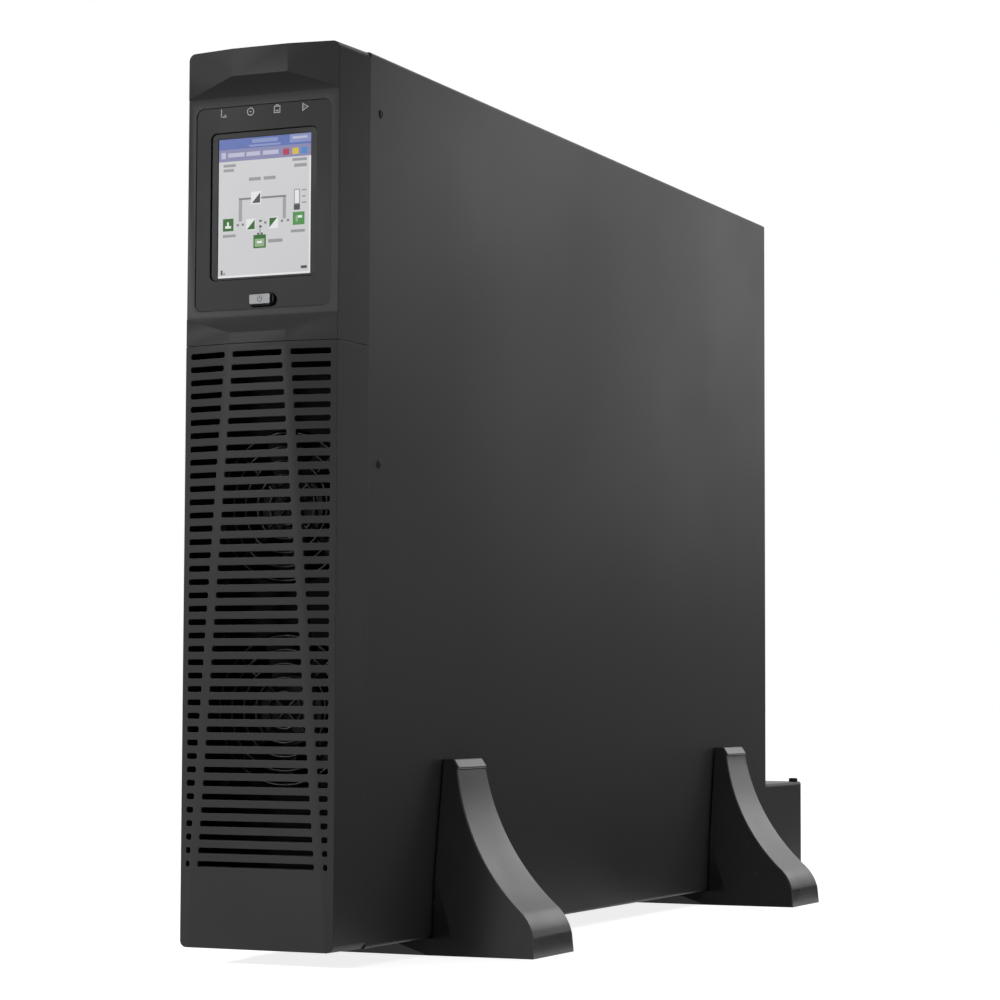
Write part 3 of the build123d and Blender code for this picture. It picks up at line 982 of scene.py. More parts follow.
@dataclass(frozen=True)
class CrossScrew:
    """Pan-head screw with a cross recess, modelled once along +Z and copied to its places."""

    head_diameter: float = 6.0
    head_height: float = 1.7
    recess_width: float = 0.9
    recess_span: float = 3.4
    recess_depth: float = 1.0
    sides: int = 36
    # Share of the height that is rounded, and the faces across the rounding.
    crown: float = 0.55
    crown_segments: int = 4
    # Turn of the first copy and of each next one, in radians.
    first_turn: float = 0.3
    turn_step: float = 0.9

    def build(self) -> Piece:
        """Model the head: a cylinder, its upper edge rounded, with two crossed grooves cut out.

        Returns:
            The screw head, seated on the plane Z = 0.
        """
        height = self.head_height * MM
        head = primitive(
            bpy.ops.mesh.primitive_cylinder_add, "screw_head", vertices=self.sides,
            radius=self.head_diameter / 2 * MM, depth=height, location=(0, 0, height / 2),
        )
        with edit_mode(head) as mesh:
            select_faces(mesh, looks_up)
            bpy.ops.mesh.bevel(offset=self.crown * height, segments=self.crown_segments, affect="EDGES")
        for wide, deep in ((self.recess_span, self.recess_width), (self.recess_width, self.recess_span)):
            groove = primitive(
                bpy.ops.mesh.primitive_cube_add, "screw_groove",
                (wide * MM, deep * MM, 2 * self.recess_depth * MM), size=1.0, location=(0, 0, height),
            )
            apply_modifier(head, "BOOLEAN", {"object": groove, "operation": "DIFFERENCE"})
            discard(groove)
        smooth(head)
        return head

    def drive(self, places: Sequence[Vector], normal: Vector, name: str) -> Piece:
        """Copy the screw to its places, each turned a little further, as one joined piece.

        Args:
            places: Seats of the heads, in metres.
            normal: Direction that the heads face.
            name: Name of the joined piece.

        Returns:
            The joined screws, painted and riding on the unit.
        """
        master = self.build()
        upright = normal.to_track_quat("Z", "Y").to_matrix().to_4x4()
        copies = []
        for number, seat in enumerate(places):
            turn = Matrix.Rotation(self.first_turn + self.turn_step * number, 4, "Z")
            copies.append(copy_at(master, f"{name}_{number}", Matrix.Translation(seat) @ upright @ turn))
        discard(master)
        return ride(BLACK_ZINC.paint(join(copies, name)), Body.UNIT)


@dataclass(frozen=True)
class Stud:
    """Round or six-sided stud that faces the rear, with a blind hole in its end."""

    radius: float
    height: float
    sides: int
    # Width of metal left round the hole, and the hole's depth.
    wall: float
    hole_depth: float
    # Share of the radius that the end is rounded by.
    rounding: float = 0.12

    def build(self, seat: Vector) -> Piece:
        """Model the stud on its seat.

        Args:
            seat: Middle of its foot, in metres.

        Returns:
            The stud, at the origin.
        """
        stud = primitive(
            bpy.ops.mesh.primitive_cylinder_add, "stud", vertices=self.sides, radius=self.radius * MM,
            depth=self.height * MM, location=(0, 0, self.height / 2 * MM),
        )
        with edit_mode(stud) as mesh:
            select_faces(mesh, looks_up)
            bpy.ops.mesh.bevel(offset=self.rounding * self.radius * MM, segments=2, affect="EDGES")
        with edit_mode(stud) as mesh:
            select_faces(mesh, looks_up)
            bpy.ops.mesh.inset(thickness=self.wall * MM)
            bpy.ops.mesh.extrude_region_move(
                TRANSFORM_OT_translate={"value": (0, 0, -self.hole_depth * MM)}
            )
        smooth(stud)
        stud.data.transform(Matrix.Translation(seat) @ Matrix.Rotation(-math.pi / 2, 4, "X"))
        return stud


@dataclass
class Chassis:
    """Folded steel case: cover, tray, bulkhead and the cover's side screws."""

    screw: CrossScrew = CrossScrew(4.0, 0.5, 0.7, 2.4, 0.35)
    screw_setback: float = 11.25
    screw_heights: tuple[float, ...] = (417.5, 243.6)

    def dress(self, nodes: CadNodes) -> None:
        """Paint the case's nodes and drive the side screws.

        Args:
            nodes: CAD nodes by name.
        """
        for name in ("chassis_cover", "chassis_tray"):
            POWDER_COAT.paint(nodes[name])
        # The bulkhead's near-black colour is painted shade for the dark inside the grille.
        BULKHEAD_SHADE.paint(nodes["fan_plate"])
        low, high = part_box("chassis_cover")
        seats = [
            Vector((high.x, low.y + self.screw_setback * MM, height * MM)) for height in self.screw_heights
        ]
        self.screw.drive(seats, Vector((1, 0, 0)), "cover_side_screws")


def seats_at_rear(edge: Edge) -> bool:
    """Say whether an edge borders a face that looks to the rear, where a moulding is hidden."""
    return any(looks_rearward(face) for face in edge.link_faces)


@dataclass(frozen=True)
class Stroke:
    """Straight line of a mark: middle and length in shares of half its size, turn in degrees."""

    x: float
    z: float
    length: float
    turn: float = 0.0


@dataclass(frozen=True)
class Outline:
    """Ring or polygon of a mark: radius in shares of half its size, turn in degrees."""

    radius: float
    corners: int = 40
    turn: float = 0.0


@dataclass(frozen=True)
class IndicatorMark:
    """Sign printed on the fascia: straight strokes, with or without an outline."""

    name: str
    column: float
    strokes: tuple[Stroke, ...]
    outline: Outline | None = None
    size: float = 4.4
    line: float = 0.5
    film: float = 0.06

    def lay(self, middle: Vector) -> Piece:
        """Lay the mark's film of ink on the fascia.

        Args:
            middle: Middle of the mark on the fascia's face, in metres.

        Returns:
            The mark as one piece, painted.
        """
        half, line, film = (size * MM for size in (self.size / 2, self.line, self.film))
        lines = []
        if self.outline:
            radius = self.outline.radius * half
            lines.append(hoop(middle, radius, line, film, self.outline.corners, self.outline.turn))
        for stroke in self.strokes:
            place = middle + half * Vector((stroke.x, 0, stroke.z))
            lines.append(slab(place, stroke.length * half, line, film, stroke.turn))
        return GREY_PRINT.paint(join(lines, f"indicator_mark_{self.name}"))


@dataclass
class FrontBezel:
    """Moulded bezel: grille, display housing, fascia and the row of indicator marks."""

    mouldings: tuple[Moulding, ...] = (
        Moulding("grille_cover", BEZEL_ABS, "bezel_plastic", 0.35, seats_at_rear, slot_corner=0.9),
        Moulding("display_housing", BEZEL_ABS, "bezel_plastic", 0.6, seats_at_rear),
        Moulding("control_fascia", FASCIA_ABS, "fascia_plastic", 0.5, seats_at_rear),
    )
    joint_closed: float = 0.17
    mark_height: float = 415.4
    # A line that drops and turns into an arrow, a ring with a bar, a square with a terminal on top
    # and a bar of charge, and a triangle that points to the right with a dot.
    marks: tuple[IndicatorMark, ...] = (
        IndicatorMark("bypass", -22.55, (
            Stroke(-0.55, 0.1, 1.8, 90.0), Stroke(0.1, -0.72, 1.4), Stroke(0.55, -0.45, 0.75, 45.0),
        )),
        IndicatorMark("load", -7.4, (Stroke(0.0, 0.0, 0.6),), Outline(0.92)),
        IndicatorMark(
            "battery", 7.4, (Stroke(0.0, 0.98, 0.7), Stroke(0.0, -0.25, 0.8)), Outline(1.15, 4, 45.0)
        ),
        IndicatorMark("fault", 22.55, (Stroke(-0.1, 0.0, 0.25),), Outline(1.1, 3, 90.0)),
    )

    def dress(self, nodes: CadNodes) -> None:
        """Replace the moulded nodes, paint the screen's ledge and print the indicator marks.

        Args:
            nodes: CAD nodes by name.
        """
        moulded = {moulding.node: moulding.replace(nodes) for moulding in self.mouldings}
        self.press_in(moulded["control_fascia"])
        SCREEN_LEDGE_ABS.paint(nodes["screen_frame"])
        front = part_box("control_fascia")[0].y
        for mark in self.marks:
            middle = Vector((mark.column * MM, front, self.mark_height * MM))
            ride(mark.lay(middle), Body.UNIT)

    def press_in(self, fascia: Piece) -> None:
        """Draw the fascia's rim out to its pocket, so that the joint shows as a step and not as a gap.

        Args:
            fascia: The moulded fascia.
        """
        low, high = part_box("control_fascia")
        middle = (low + high) / 2
        grow = Matrix.Diagonal((
            1 + 2 * self.joint_closed * MM / (high.x - low.x), 1.0,
            1 + 2 * self.joint_closed * MM / (high.z - low.z), 1.0,
        ))
        fascia.data.transform(Matrix.Translation(middle) @ grow @ Matrix.Translation(-middle))


@dataclass(frozen=True)
class Patch:
    """Coloured patch of the screen, in shares of its width from the left and its height from the top."""

    left: float
    top: float
    right: float
    bottom: float
    ink: Ink
    layer: int = 1
    diagonal: int = 0


@dataclass
class MimicScreen:
    """Colour screen with a one-line diagram from mains to load, and plain bars as captions."""

    layer_height: float = 0.03
    rows: tuple[Patch, ...] = (
        Patch(0.0, 0.0, 1.0, 0.075, Ink.HEADER),
        Patch(0.36, 0.012, 0.64, 0.04, Ink.HEADER_PALE, 2),
        Patch(0.33, 0.052, 0.67, 0.066, Ink.HEADER_PALE, 2),
        Patch(0.77, 0.0, 1.0, 0.06, Ink.HEADER_PALE, 2),
        Patch(0.80, 0.018, 0.96, 0.034, Ink.STATUS_PALE, 3),
        Patch(0.0, 0.075, 1.0, 0.162, Ink.STATUS),
        Patch(0.025, 0.095, 0.075, 0.14, Ink.STATUS_PALE, 2),
        Patch(0.10, 0.102, 0.28, 0.132, Ink.STATUS_PALE, 2),
        Patch(0.30, 0.102, 0.45, 0.132, Ink.STATUS_PALE, 2),
        Patch(0.48, 0.102, 0.65, 0.132, Ink.STATUS_PALE, 2),
        Patch(0.70, 0.10, 0.765, 0.145, Ink.RED, 2),
        Patch(0.80, 0.10, 0.865, 0.145, Ink.YELLOW, 2),
        Patch(0.895, 0.10, 0.96, 0.145, Ink.BLUE, 2),
    )
    captions: tuple[Patch, ...] = (
        Patch(0.05, 0.182, 0.185, 0.202, Ink.TEXT),
        Patch(0.05, 0.216, 0.165, 0.236, Ink.TEXT),
        Patch(0.80, 0.174, 0.955, 0.194, Ink.TEXT),
        Patch(0.82, 0.214, 0.955, 0.238, Ink.TEXT),
        Patch(0.33, 0.288, 0.46, 0.312, Ink.TEXT),
        Patch(0.49, 0.288, 0.62, 0.312, Ink.TEXT),
        Patch(0.05, 0.69, 0.19, 0.71, Ink.TEXT),
        Patch(0.79, 0.685, 0.94, 0.705, Ink.TEXT),
        Patch(0.545, 0.742, 0.70, 0.766, Ink.TEXT),
        Patch(0.03, 0.945, 0.05, 0.98, Ink.DARK),
        Patch(0.055, 0.965, 0.08, 0.98, Ink.TEXT),
        Patch(0.90, 0.945, 0.965, 0.965, Ink.DARK),
    )
    diagram: tuple[Patch, ...] = (
        Patch(0.222, 0.445, 0.258, 0.60, Ink.LINE),
        Patch(0.222, 0.432, 0.735, 0.446, Ink.RULE),
        Patch(0.70, 0.445, 0.735, 0.60, Ink.LINE),
        Patch(0.20, 0.618, 0.225, 0.634, Ink.RULE),
        Patch(0.255, 0.616, 0.28, 0.632, Ink.RULE),
        Patch(0.50, 0.612, 0.525, 0.628, Ink.RULE),
        Patch(0.68, 0.608, 0.705, 0.624, Ink.RULE),
        Patch(0.745, 0.606, 0.77, 0.622, Ink.RULE),
        Patch(0.355, 0.392, 0.465, 0.482, Ink.WHITE, 2),
        Patch(0.365, 0.40, 0.455, 0.474, Ink.DARK, 3, -1),
        Patch(0.45, 0.632, 0.462, 0.71, Ink.LINE),
        Patch(0.05, 0.575, 0.165, 0.665, Ink.GREEN, 2),
        Patch(0.075, 0.628, 0.14, 0.645, Ink.WHITE, 3),
        Patch(0.095, 0.60, 0.115, 0.632, Ink.WHITE, 3),
        Patch(0.305, 0.587, 0.405, 0.668, Ink.WHITE, 2),
        Patch(0.312, 0.593, 0.398, 0.662, Ink.GREEN, 3, -1),
        Patch(0.55, 0.583, 0.65, 0.664, Ink.WHITE, 2),
        Patch(0.557, 0.589, 0.643, 0.658, Ink.GREEN, 3, 1),
        Patch(0.445, 0.60, 0.475, 0.612, Ink.DARK, 2),
        Patch(0.445, 0.64, 0.475, 0.652, Ink.DARK, 2),
        Patch(0.81, 0.56, 0.935, 0.652, Ink.MID_GREEN, 2),
        Patch(0.84, 0.585, 0.865, 0.63, Ink.LEAF, 3),
        Patch(0.865, 0.585, 0.91, 0.603, Ink.WHITE, 3),
        Patch(0.385, 0.705, 0.52, 0.80, Ink.GREEN, 2),
        Patch(0.40, 0.733, 0.505, 0.79, Ink.LEAF, 3),
        Patch(0.425, 0.75, 0.48, 0.765, Ink.WHITE, 4),
        Patch(0.425, 0.69, 0.445, 0.705, Ink.DARK, 2),
        Patch(0.465, 0.69, 0.485, 0.705, Ink.DARK, 2),
        Patch(0.82, 0.395, 0.885, 0.505, Ink.TEXT, 2),
        Patch(0.83, 0.403, 0.875, 0.497, Ink.WHITE, 3),
        Patch(0.82, 0.505, 0.885, 0.545, Ink.DARK, 3),
        Patch(0.905, 0.40, 0.955, 0.41, Ink.TEXT, 2),
        Patch(0.905, 0.445, 0.945, 0.455, Ink.TEXT, 2),
        Patch(0.905, 0.49, 0.955, 0.50, Ink.TEXT, 2),
        Patch(0.0, 0.987, 1.0, 1.0, Ink.WHITE, 2),
        Patch(0.985, 0.162, 1.0, 0.987, Ink.WHITE, 2),
    )

    def dress(self, nodes: CadNodes) -> None:
        """Light the screen's page and lay its patches on it, one piece for each ink.

        Args:
            nodes: CAD nodes by name.
        """
        Ink.PAGE.value.paint(nodes["lcd_screen"])
        low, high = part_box("lcd_screen")
        sheets: dict[Ink, list[Piece]] = {}
        for patch in self.rows + self.captions + self.diagram:
            sheets.setdefault(patch.ink, []).append(self.lay(patch, low, high))
        for ink, plates in sheets.items():
            piece = ink.value.paint(join(plates, f"display_{ink.name.lower()}"))
            ride(piece, Body.UNIT)

    def lay(self, patch: Patch, low: Vector, high: Vector) -> Piece:
        """Lay one patch on the screen.

        Args:
            patch: The patch.
            low: Lowest corner of the screen's box.
            high: Highest corner of the screen's box.

        Returns:
            The patch as a thin slab.
        """
        wide, tall = high.x - low.x, high.z - low.z
        middle = Vector((
            low.x + wide * (patch.left + patch.right) / 2,
            low.y,
            high.z - tall * (patch.top + patch.bottom) / 2,
        ))
        return slab(
            middle, wide * (patch.right - patch.left), tall * (patch.bottom - patch.top),
            patch.layer * self.layer_height * MM, diagonal=patch.diagonal,
        )


@dataclass
class PowerButton:
    """Pill-shaped push button: black body, silver cap and its mark."""

    mark_radius: float = 1.4
    line: float = 0.45
    film: float = 0.05
    # Shares of the mark's radius: half the gap in its ring, and the bar's height and length.
    gap: float = 0.55
    bar_lift: float = 0.75
    bar_length: float = 1.1

    def dress(self, nodes: CadNodes) -> None:
        """Paint the button and print its mark, a ring with a gap and a bar in it.

        Args:
            nodes: CAD nodes by name.
        """
        BUTTON_PC.paint(nodes["power_button"])
        SILVER_LACQUER.paint(nodes["button_cap"])
        middle = on_node("button_cap", rear=False)
        radius, line, film = (size * MM for size in (self.mark_radius, self.line, self.film))
        ring = hoop(middle, radius, line, film)
        top = middle + Vector((0, 0, radius))
        with edit_mode(ring) as mesh:
            select_faces(mesh, lambda face: (face.calc_center_median() - top).length < self.gap * radius)
            bpy.ops.mesh.delete(type="FACE")
            bpy.ops.mesh.select_all(action="SELECT")
            bpy.ops.mesh.fill_holes(sides=4)
            bpy.ops.mesh.normals_make_consistent(inside=False)
        bar = slab(middle + Vector((0, 0, self.bar_lift * radius)), line, self.bar_length * radius, film)
        mark = DARK_PRINT.paint(join([ring, bar], "power_mark"))
        ride(mark, Body.BUTTON)


@dataclass
class IntakeFans:
    """Two intake fans behind the grille, with round-wire guards and their screws."""

    levels: tuple[str, ...] = ("upper", "lower")
    wire: float = 1.6
    inner_ring: float = 9.1
    ring_pitch: float = 6.85
    ring_count: int = 5
    ring_segments: tuple[int, int] = (72, 12)
    rod_sides: int = 14
    rod_leans: tuple[float, ...] = (45.0, -45.0)
    rod_rounding: float = 0.3
    eye_radius: float = 2.9
    screw: CrossScrew = CrossScrew(6.4, 1.5)
    screw_reach: float = 35.75

    def dress(self, nodes: CadNodes) -> None:
        """Paint the fans, and bend and fasten the guards.

        Args:
            nodes: CAD nodes by name.
        """
        for level in self.levels:
            FAN_PBT.paint(nodes[f"fan_frame_{level}"])
            FAN_PBT.paint(nodes[f"fan_rotor_{level}"])
            middle = on_node(f"fan_guard_{level}", rear=True)
            # The guard wire's colour is darkened as painted shade.
            guard = GUARD_NICKEL_SHADED.paint(join(self.bend(middle), f"wire_guard_{level}"))
            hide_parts(f"fan_guard_{level}")
            ride(guard, Body.UNIT)
            seats = [eye - Vector((0, self.wire * MM, 0)) for eye in self.eyes(middle)]
            self.screw.drive(seats, Vector((0, -1, 0)), f"guard_screws_{level}")

    def eyes(self, middle: Vector) -> list[Vector]:
        """Middles of the four screw eyes on the bulkhead."""
        reach = self.screw_reach * MM
        return [middle + Vector((x, 0, z)) for x in (-reach, reach) for z in (-reach, reach)]

    def bend(self, middle: Vector) -> list[Piece]:
        """Model the wires of one guard: rings in front, a cross behind them and four eyes.

        Args:
            middle: Middle of the guard on the bulkhead, in metres.

        Returns:
            The wires as separate meshes.
        """
        half = Vector((0, self.wire / 2 * MM, 0))
        wires = [
            self.ring(middle - 3 * half, self.inner_ring + number * self.ring_pitch)
            for number in range(self.ring_count)
        ]
        for lean in self.rod_leans:
            rod = primitive(
                bpy.ops.mesh.primitive_cylinder_add, "guard_rod", vertices=self.rod_sides,
                radius=self.wire / 2 * MM, depth=2 * (self.screw_reach * 2**0.5 - self.eye_radius) * MM,
                location=middle - half, rotation=(0, math.radians(lean), 0),
            )
            round_edges(rod, self.rod_rounding, angle=60.0)
            smooth(rod, angle=40.0)
            wires.append(rod)
        return wires + [self.ring(eye - half, self.eye_radius) for eye in self.eyes(middle)]

    def ring(self, middle: Vector, radius: float) -> Piece:
        """One ring of round wire that faces the front.

        Args:
            middle: Middle of the ring, in metres.
            radius: Radius to the middle of the wire, in millimetres.

        Returns:
            The ring, at the origin.
        """
        around, across = self.ring_segments
        loop = primitive(
            bpy.ops.mesh.primitive_torus_add, "guard_ring", major_radius=radius * MM,
            minor_radius=self.wire / 2 * MM, major_segments=around, minor_segments=across,
            location=middle, rotation=(math.pi / 2, 0, 0),
        )
        smooth(loop, angle=60.0)
        return loop


@dataclass
class RearPanel:
    """Rear sheet with its vents, sockets, breaker, blank card cover and terminal box."""

    panel_screw: CrossScrew = CrossScrew(5.6, 1.6)
    panel_screw_reach: float = 38.0
    panel_screw_heights: tuple[float, ...] = (438.0, 260.0, 90.0)
    box_screw: CrossScrew = CrossScrew(5.0, 1.4)
    box_screw_height: float = 22.0
    box_screw_setback: float = 9.0
    # The port's sockets: how many there are in the upper and the lower row, and their distances.
    pin: Stud = Stud(0.62, 0.25, 16, 0.2, 0.2)
    pin_rows: tuple[tuple[int, int], ...] = ((5, 1), (4, -1))
    pin_pitch: float = 2.76
    pin_row_gap: float = 2.84
    nut: Stud = Stud(2.6, 4.6, 6, 1.0, 2.5)
    nut_span: float = 25.0
    port_flange: float = 1.0
    thumbscrew: Stud = Stud(3.6, 6.0, 36, 1.2, 0.8)
    thumbscrew_margin: float = 6.0
    # Side faces of a thumbscrew, by their area in square millimetres, and its grooves.
    rib_area: float = 1.0
    groove_margin: float = 0.08
    groove_depth: float = 0.25
    # Width, height and length of a contact, how deep it sits and where across the socket.
    contact: Point = (9.0, 2.4, 1.8)
    contact_rounding: float = 0.4
    contact_depth: float = 3.0
    contact_shares: Span = (0.25, 0.75)
    clamp_screw: CrossScrew = CrossScrew(3.2, 0.5, 0.5, 2.4, 0.35)
    clamp_shares: Span = (0.27, 0.73)

    def dress(self, nodes: CadNodes) -> None:
        """Paint the rear nodes and add screws, sockets, nuts, thumbscrews and contacts.

        Args:
            nodes: CAD nodes by name.
        """
        for name in ("rear_panel", "terminal_box", "card_slot_cover"):
            POWDER_COAT.paint(nodes[name])
        for name in ("battery_socket", "input_breaker", "breaker_toggle"):
            CONNECTOR_NYLON.paint(nodes[name])
        BRIGHT_ZINC.paint(nodes["serial_port"])
        TERMINAL_GREEN_PBT.paint(nodes["emergency_stop_plug"])
        BLACK_ZINC.paint(nodes["terminal_box_knob"])
        self.drive_sheet_screws()
        ride(self.serial_sockets(), Body.UNIT)
        ride(self.serial_nuts(), Body.UNIT)
        ride(self.card_thumbscrews(), Body.UNIT)
        ride(self.battery_contacts(), Body.UNIT)
        clamps = [on_node("emergency_stop_plug", True, share) for share in self.clamp_shares]
        self.clamp_screw.drive(clamps, Vector((0, 1, 0)), "stop_plug_screws")

    def drive_sheet_screws(self) -> None:
        """Drive the screws of the rear sheet and of both sides of the terminal box."""
        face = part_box("rear_panel")[1].y
        seats = [
            Vector((side * self.panel_screw_reach * MM, face, height * MM))
            for height in self.panel_screw_heights for side in (-1, 1)
        ]
        self.panel_screw.drive(seats, Vector((0, 1, 0)), "rear_panel_screws")
        low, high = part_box("terminal_box")
        for name, wall, side in (("left", low.x, -1), ("right", high.x, 1)):
            seat = Vector((wall, low.y + self.box_screw_setback * MM, self.box_screw_height * MM))
            self.box_screw.drive([seat], Vector((side, 0, 0)), f"terminal_box_screws_{name}")

    def serial_sockets(self) -> Piece:
        """Nine sockets in two rows on the port's face.

        Returns:
            The sockets as one piece.
        """
        middle = on_node("serial_port", rear=True)
        sockets = []
        for count, side in self.pin_rows:
            for number in range(count):
                across = (number - (count - 1) / 2) * self.pin_pitch
                seat = middle + Vector((across, 0, side * self.pin_row_gap / 2)) * MM
                sockets.append(self.pin.build(seat))
        return CONNECTOR_NYLON.paint(join(sockets, "serial_port_sockets"))

    def serial_nuts(self) -> Piece:
        """Six-sided nuts at both ends of the port's flange.

        Returns:
            The two nuts as one piece.
        """
        middle = on_node("serial_port", rear=False)
        nuts = [
            self.nut.build(middle + Vector((side * self.nut_span / 2, self.port_flange, 0)) * MM)
            for side in (-1, 1)
        ]
        return BRIGHT_ZINC.paint(join(nuts, "serial_port_nuts"))

    def card_thumbscrews(self) -> Piece:
        """Ribbed thumbscrews at the top and bottom of the blank card cover.

        Returns:
            The two screws as one piece.
        """
        low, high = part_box("card_slot_cover")
        margin = self.thumbscrew_margin * MM
        knobs = []
        for height in (low.z + margin, high.z - margin):
            knob = self.thumbscrew.build(Vector(((low.x + high.x) / 2, high.y, height)))
            with edit_mode(knob) as mesh:
                sides = [
                    face for face in mesh.faces
                    if abs(face.normal.y) < 0.1 and face.calc_area() > self.rib_area * MM**2
                ]
                for side in sides[::2]:
                    side.select_set(True)
                mesh.select_flush_mode()
                bpy.ops.mesh.inset(thickness=self.groove_margin * MM, use_individual=True)
                bpy.ops.transform.shrink_fatten(value=-self.groove_depth * MM)
            knobs.append(knob)
        return BLACK_ZINC.paint(join(knobs, "card_cover_thumbscrews"))

    def battery_contacts(self) -> Piece:
        """Flat contacts in the two wells of the battery socket.

        Returns:
            The contacts as one piece.
        """
        width, height, length = (size * MM for size in self.contact)
        contacts = []
        for share in self.contact_shares:
            seat = on_node("battery_socket", True, share) - Vector((0, self.contact_depth * MM, 0))
            contact = slab(Vector((0, 0, 0)), width, height, length)
            contact.data.transform(Matrix.Translation(seat) @ Matrix.Rotation(math.pi, 4, "Z"))
            round_edges(contact, self.contact_rounding, angle=40.0)
            contacts.append(contact)
        return CONTACT_BRASS.paint(join(contacts, "battery_socket_contacts"))


@dataclass
class TowerStands:
    """Two pairs of moulded stand halves, with the rounded edges of their mould."""

    names: tuple[str, ...] = ("front_stand_left", "front_stand_right", "rear_stand_left", "rear_stand_right")
    edge: float = 1.6
    segments: int = 3
    plate: float = 8.6

    def dress(self, nodes: CadNodes) -> None:
        """Replace each half by a copy with rounded edges above its base plate.

        Args:
            nodes: CAD nodes by name.
        """
        for name in self.names:
            half = Moulding(name, STAND_ABS, "stand_plastic", self.edge, self.in_plate, self.segments)
            half.replace(nodes)

    def in_plate(self, edge: Edge) -> bool:
        """Say whether an edge belongs to the base plate, which stays sharp."""
        return all(end.co.z <= self.plate * MM for end in edge.verts)


@dataclass(frozen=True)
class Softbox:
    """Lamp with a grid: place, aim and sides in metres, power in watts, spread in degrees."""

    name: str
    place: Point
    aim: Point
    sides: Span
    power: float
    spread: float

    def hang(self) -> None:
        """Hang the lamp in its place, turned to its aim and out of the camera's sight."""
        light = bpy.data.lights.new(self.name, "AREA")
        light.shape = "RECTANGLE"
        light.size, light.size_y = self.sides
        light.energy = self.power
        light.spread = math.radians(self.spread)
        lamp = bpy.data.objects.new(self.name, light)
        lamp.location = self.place
        lamp.visible_camera = False
        lamp.rotation_euler = (Vector(self.aim) - Vector(self.place)).to_track_quat("-Z", "Y").to_euler()
        bpy.context.scene.collection.objects.link(lamp)


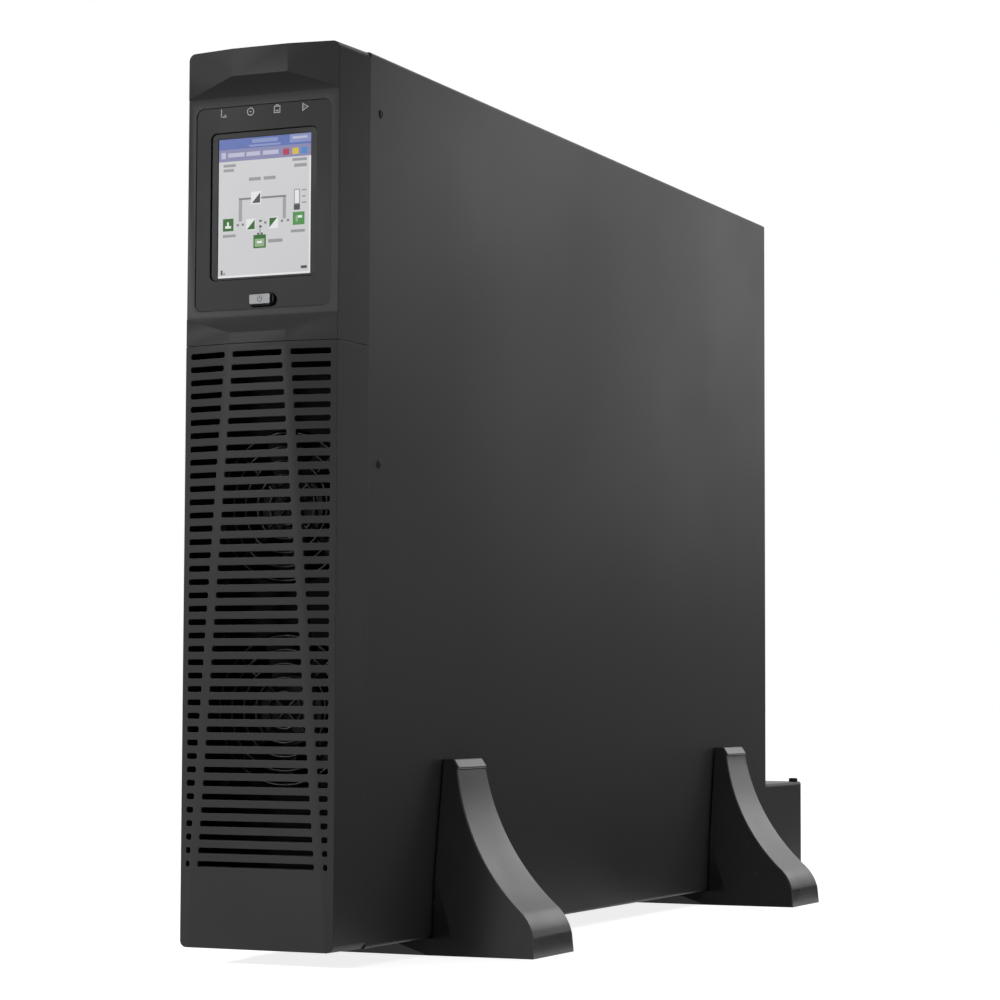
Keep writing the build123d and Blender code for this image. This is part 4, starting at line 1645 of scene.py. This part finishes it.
@dataclass
class Studio:
    """White floor, soft lamps, pale surroundings and the photograph's camera."""

    softboxes: tuple[Softbox, ...] = (
        Softbox("side_softbox", (0.2, 0.34, 0.62), (0.04, 0.3, 0.4), (0.15, 0.6), 0.85, 150.0),
        Softbox("front_softbox", (-1.2, -2.1, 0.85), (0.0, -0.34, -0.06), (0.35, 0.35), 7.2, 60.0),
        Softbox("rear_softbox", (0.5, 1.6, 0.68), (0.06, 0.0, 0.1), (0.5, 0.5), 0.32, 120.0),
        Softbox("top_softbox", (0.25, 0.1, 2.2), (0.0, 0.0, 0.2), (1.4, 1.4), 12.0, 180.0),
    )
    surround: float = 0.14
    white: str = "#ffffff"
    floor_size: float = 40.0
    floor_colour: str = "#b8b8b8"
    # The floor's glow close to the unit, and the distances over which it rises to 1.
    floor_glow: float = 0.84
    glow_span: Span = (0.4, 2.4)
    # Lowest and highest corner of each black card, in metres.
    flag_cards: tuple[tuple[Point, Point], ...] = (
        ((0.13, -0.35, 0.001), (0.45, 2.2, 0.001)),
        ((0.45, -0.35, 0.001), (1.3, 1.05, 0.001)),
        ((0.3, 2.2, 0.0), (1.3, 2.2, 0.28)),
        ((1.12, 2.2, 0.40), (1.36, 2.2, 1.7)),
        ((1.36, 2.2, 0.58), (4.6, 2.2, 3.0)),
    )
    flag_colour: str = "#0c0c0c"
    # Angles in degrees, target and distance in metres, lens and sensor in millimetres.
    camera_azimuth: float = 24.449
    camera_elevation: float = -3.804
    camera_roll: float = 0.209
    camera_target: Point = (0.11439, -0.31525, 0.22366)
    camera_distance: float = 1.3942
    camera_lens: float = 105.22
    camera_sensor: float = 36.0

    def build(self) -> None:
        """Lay the floor, light the set and place the camera."""
        self.lay_floor()
        self.stand_flag()
        self.light_surroundings()
        for softbox in self.softboxes:
            softbox.hang()
        self.place_camera()
        bpy.context.scene.view_settings.view_transform = "Standard"

    def seen_directly(self, tree: Tree) -> Socket:
        """Share that is 1 for camera, glossy and transmission rays and 0 for the rest.

        Args:
            tree: Node tree of the floor's material or the world.

        Returns:
            The output that carries the share.
        """
        path = add_node(tree, "ShaderNodeLightPath")
        shiny = add_node(
            tree, "ShaderNodeMath", {"operation": "MAXIMUM"},
            {0: path.outputs["Is Glossy Ray"], 1: path.outputs["Is Transmission Ray"]},
        )
        either = add_node(
            tree, "ShaderNodeMath", {"operation": "MAXIMUM"},
            {0: shiny.outputs[0], 1: path.outputs["Is Camera Ray"]},
        )
        return either.outputs[0]

    def lay_floor(self) -> None:
        """Lay a matt floor that takes the soft shadow, with a glow that rises to white far away."""
        floor = primitive(bpy.ops.mesh.primitive_plane_add, "studio_floor", size=self.floor_size)
        material = bpy.data.materials.new("white_studio_floor")
        tree = empty_tree(material)
        matt = add_node(tree, "ShaderNodeBsdfDiffuse", {"Color": linear(self.floor_colour)})
        away = add_node(
            tree, "ShaderNodeVectorMath", {"operation": "LENGTH"},
            {0: add_node(tree, "ShaderNodeTexCoord").outputs["Object"]},
        )
        level = add_node(
            tree, "ShaderNodeMapRange",
            limits("From", self.glow_span) | limits("To", (self.floor_glow, 1.0)),
            {"Value": away.outputs["Value"]},
        )
        share = add_node(
            tree, "ShaderNodeMath", {"operation": "MULTIPLY"},
            {0: self.seen_directly(tree), 1: level.outputs["Result"]},
        )
        glow = add_node(
            tree, "ShaderNodeEmission", {"Color": linear(self.white)}, {"Strength": share.outputs[0]}
        )
        both = add_node(
            tree, "ShaderNodeAddShader", links={0: matt.outputs["BSDF"], 1: glow.outputs["Emission"]}
        )
        add_node(tree, "ShaderNodeOutputMaterial", links={"Surface": both.outputs["Shader"]})
        floor.data.materials.append(material)

    def stand_flag(self) -> None:
        """Set up black cards that only reflections see, as photographers do.

        They lie on the floor to the right of the unit and stand far behind it, so that the foot of
        the side and the toes reflect dark and the rest reflects the white surroundings.
        """
        cards = []
        for low, high in self.flag_cards:
            wide, deep, tall = Vector(high) - Vector(low)
            upright = deep == 0
            cards.append(primitive(
                bpy.ops.mesh.primitive_plane_add, "flag_card", (wide, tall if upright else deep, 1.0),
                size=1.0, location=(Vector(low) + Vector(high)) / 2,
                rotation=(math.pi / 2 if upright else 0.0, 0.0, 0.0),
            ))
        flag = join(cards, "black_flag")
        material = bpy.data.materials.new("black_flag_cloth")
        tree = empty_tree(material)
        cloth = add_node(tree, "ShaderNodeBsdfDiffuse", {"Color": linear(self.flag_colour)})
        add_node(tree, "ShaderNodeOutputMaterial", links={"Surface": cloth.outputs["BSDF"]})
        flag.data.materials.append(material)
        flag.visible_camera = False
        flag.visible_diffuse = False
        flag.visible_transmission = False
        flag.visible_shadow = False

    def light_surroundings(self) -> None:
        """Make the world: white where it is seen, and a soft grey light elsewhere."""
        world = bpy.data.worlds.new("studio_surroundings")
        bpy.context.scene.world = world
        tree = empty_tree(world)
        soft, shade_share = (
            add_node(tree, "ShaderNodeBackground", {"Color": linear(self.white), "Strength": strength})
            for strength in (self.surround, 1.0)
        )
        both = add_node(
            tree, "ShaderNodeMixShader",
            links={0: self.seen_directly(tree), 1: soft.outputs[0], 2: shade_share.outputs[0]},
        )
        add_node(tree, "ShaderNodeOutputWorld", links={"Surface": both.outputs["Shader"]})

    def place_camera(self) -> None:
        """Set up the photograph's camera: low, turned to the right, looking slightly up."""
        turn, lift, roll = (
            math.radians(angle) for angle in (self.camera_azimuth, self.camera_elevation, self.camera_roll)
        )
        back = Vector((
            math.sin(turn) * math.cos(lift), -math.cos(turn) * math.cos(lift), math.sin(lift)
        ))
        level = Vector((math.cos(turn), math.sin(turn), 0.0))
        upright = back.cross(level)
        right = math.cos(roll) * level + math.sin(roll) * upright
        up = -math.sin(roll) * level + math.cos(roll) * upright
        lens = bpy.data.cameras.new("photo_camera")
        lens.lens = self.camera_lens
        lens.sensor_width = self.camera_sensor
        camera = bpy.data.objects.new("photo_camera", lens)
        axes = Matrix((right, up, back)).transposed().to_4x4()
        spot = Vector(self.camera_target) + self.camera_distance * back
        camera.matrix_world = Matrix.Translation(spot) @ axes
        bpy.context.scene.collection.objects.link(camera)
        bpy.context.scene.camera = camera


def main() -> None:
    """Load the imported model, dress each sub-assembly and set the studio."""
    logging.basicConfig(level=logging.INFO, format="%(name)s: %(message)s")
    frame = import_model()
    nodes = frame["nodes"]
    for assembly in (
        Chassis(), FrontBezel(), MimicScreen(), PowerButton(), IntakeFans(), RearPanel(), TowerStands()
    ):
        assembly.dress(nodes)
    Studio().build()


if __name__ == "__main__":
    main()
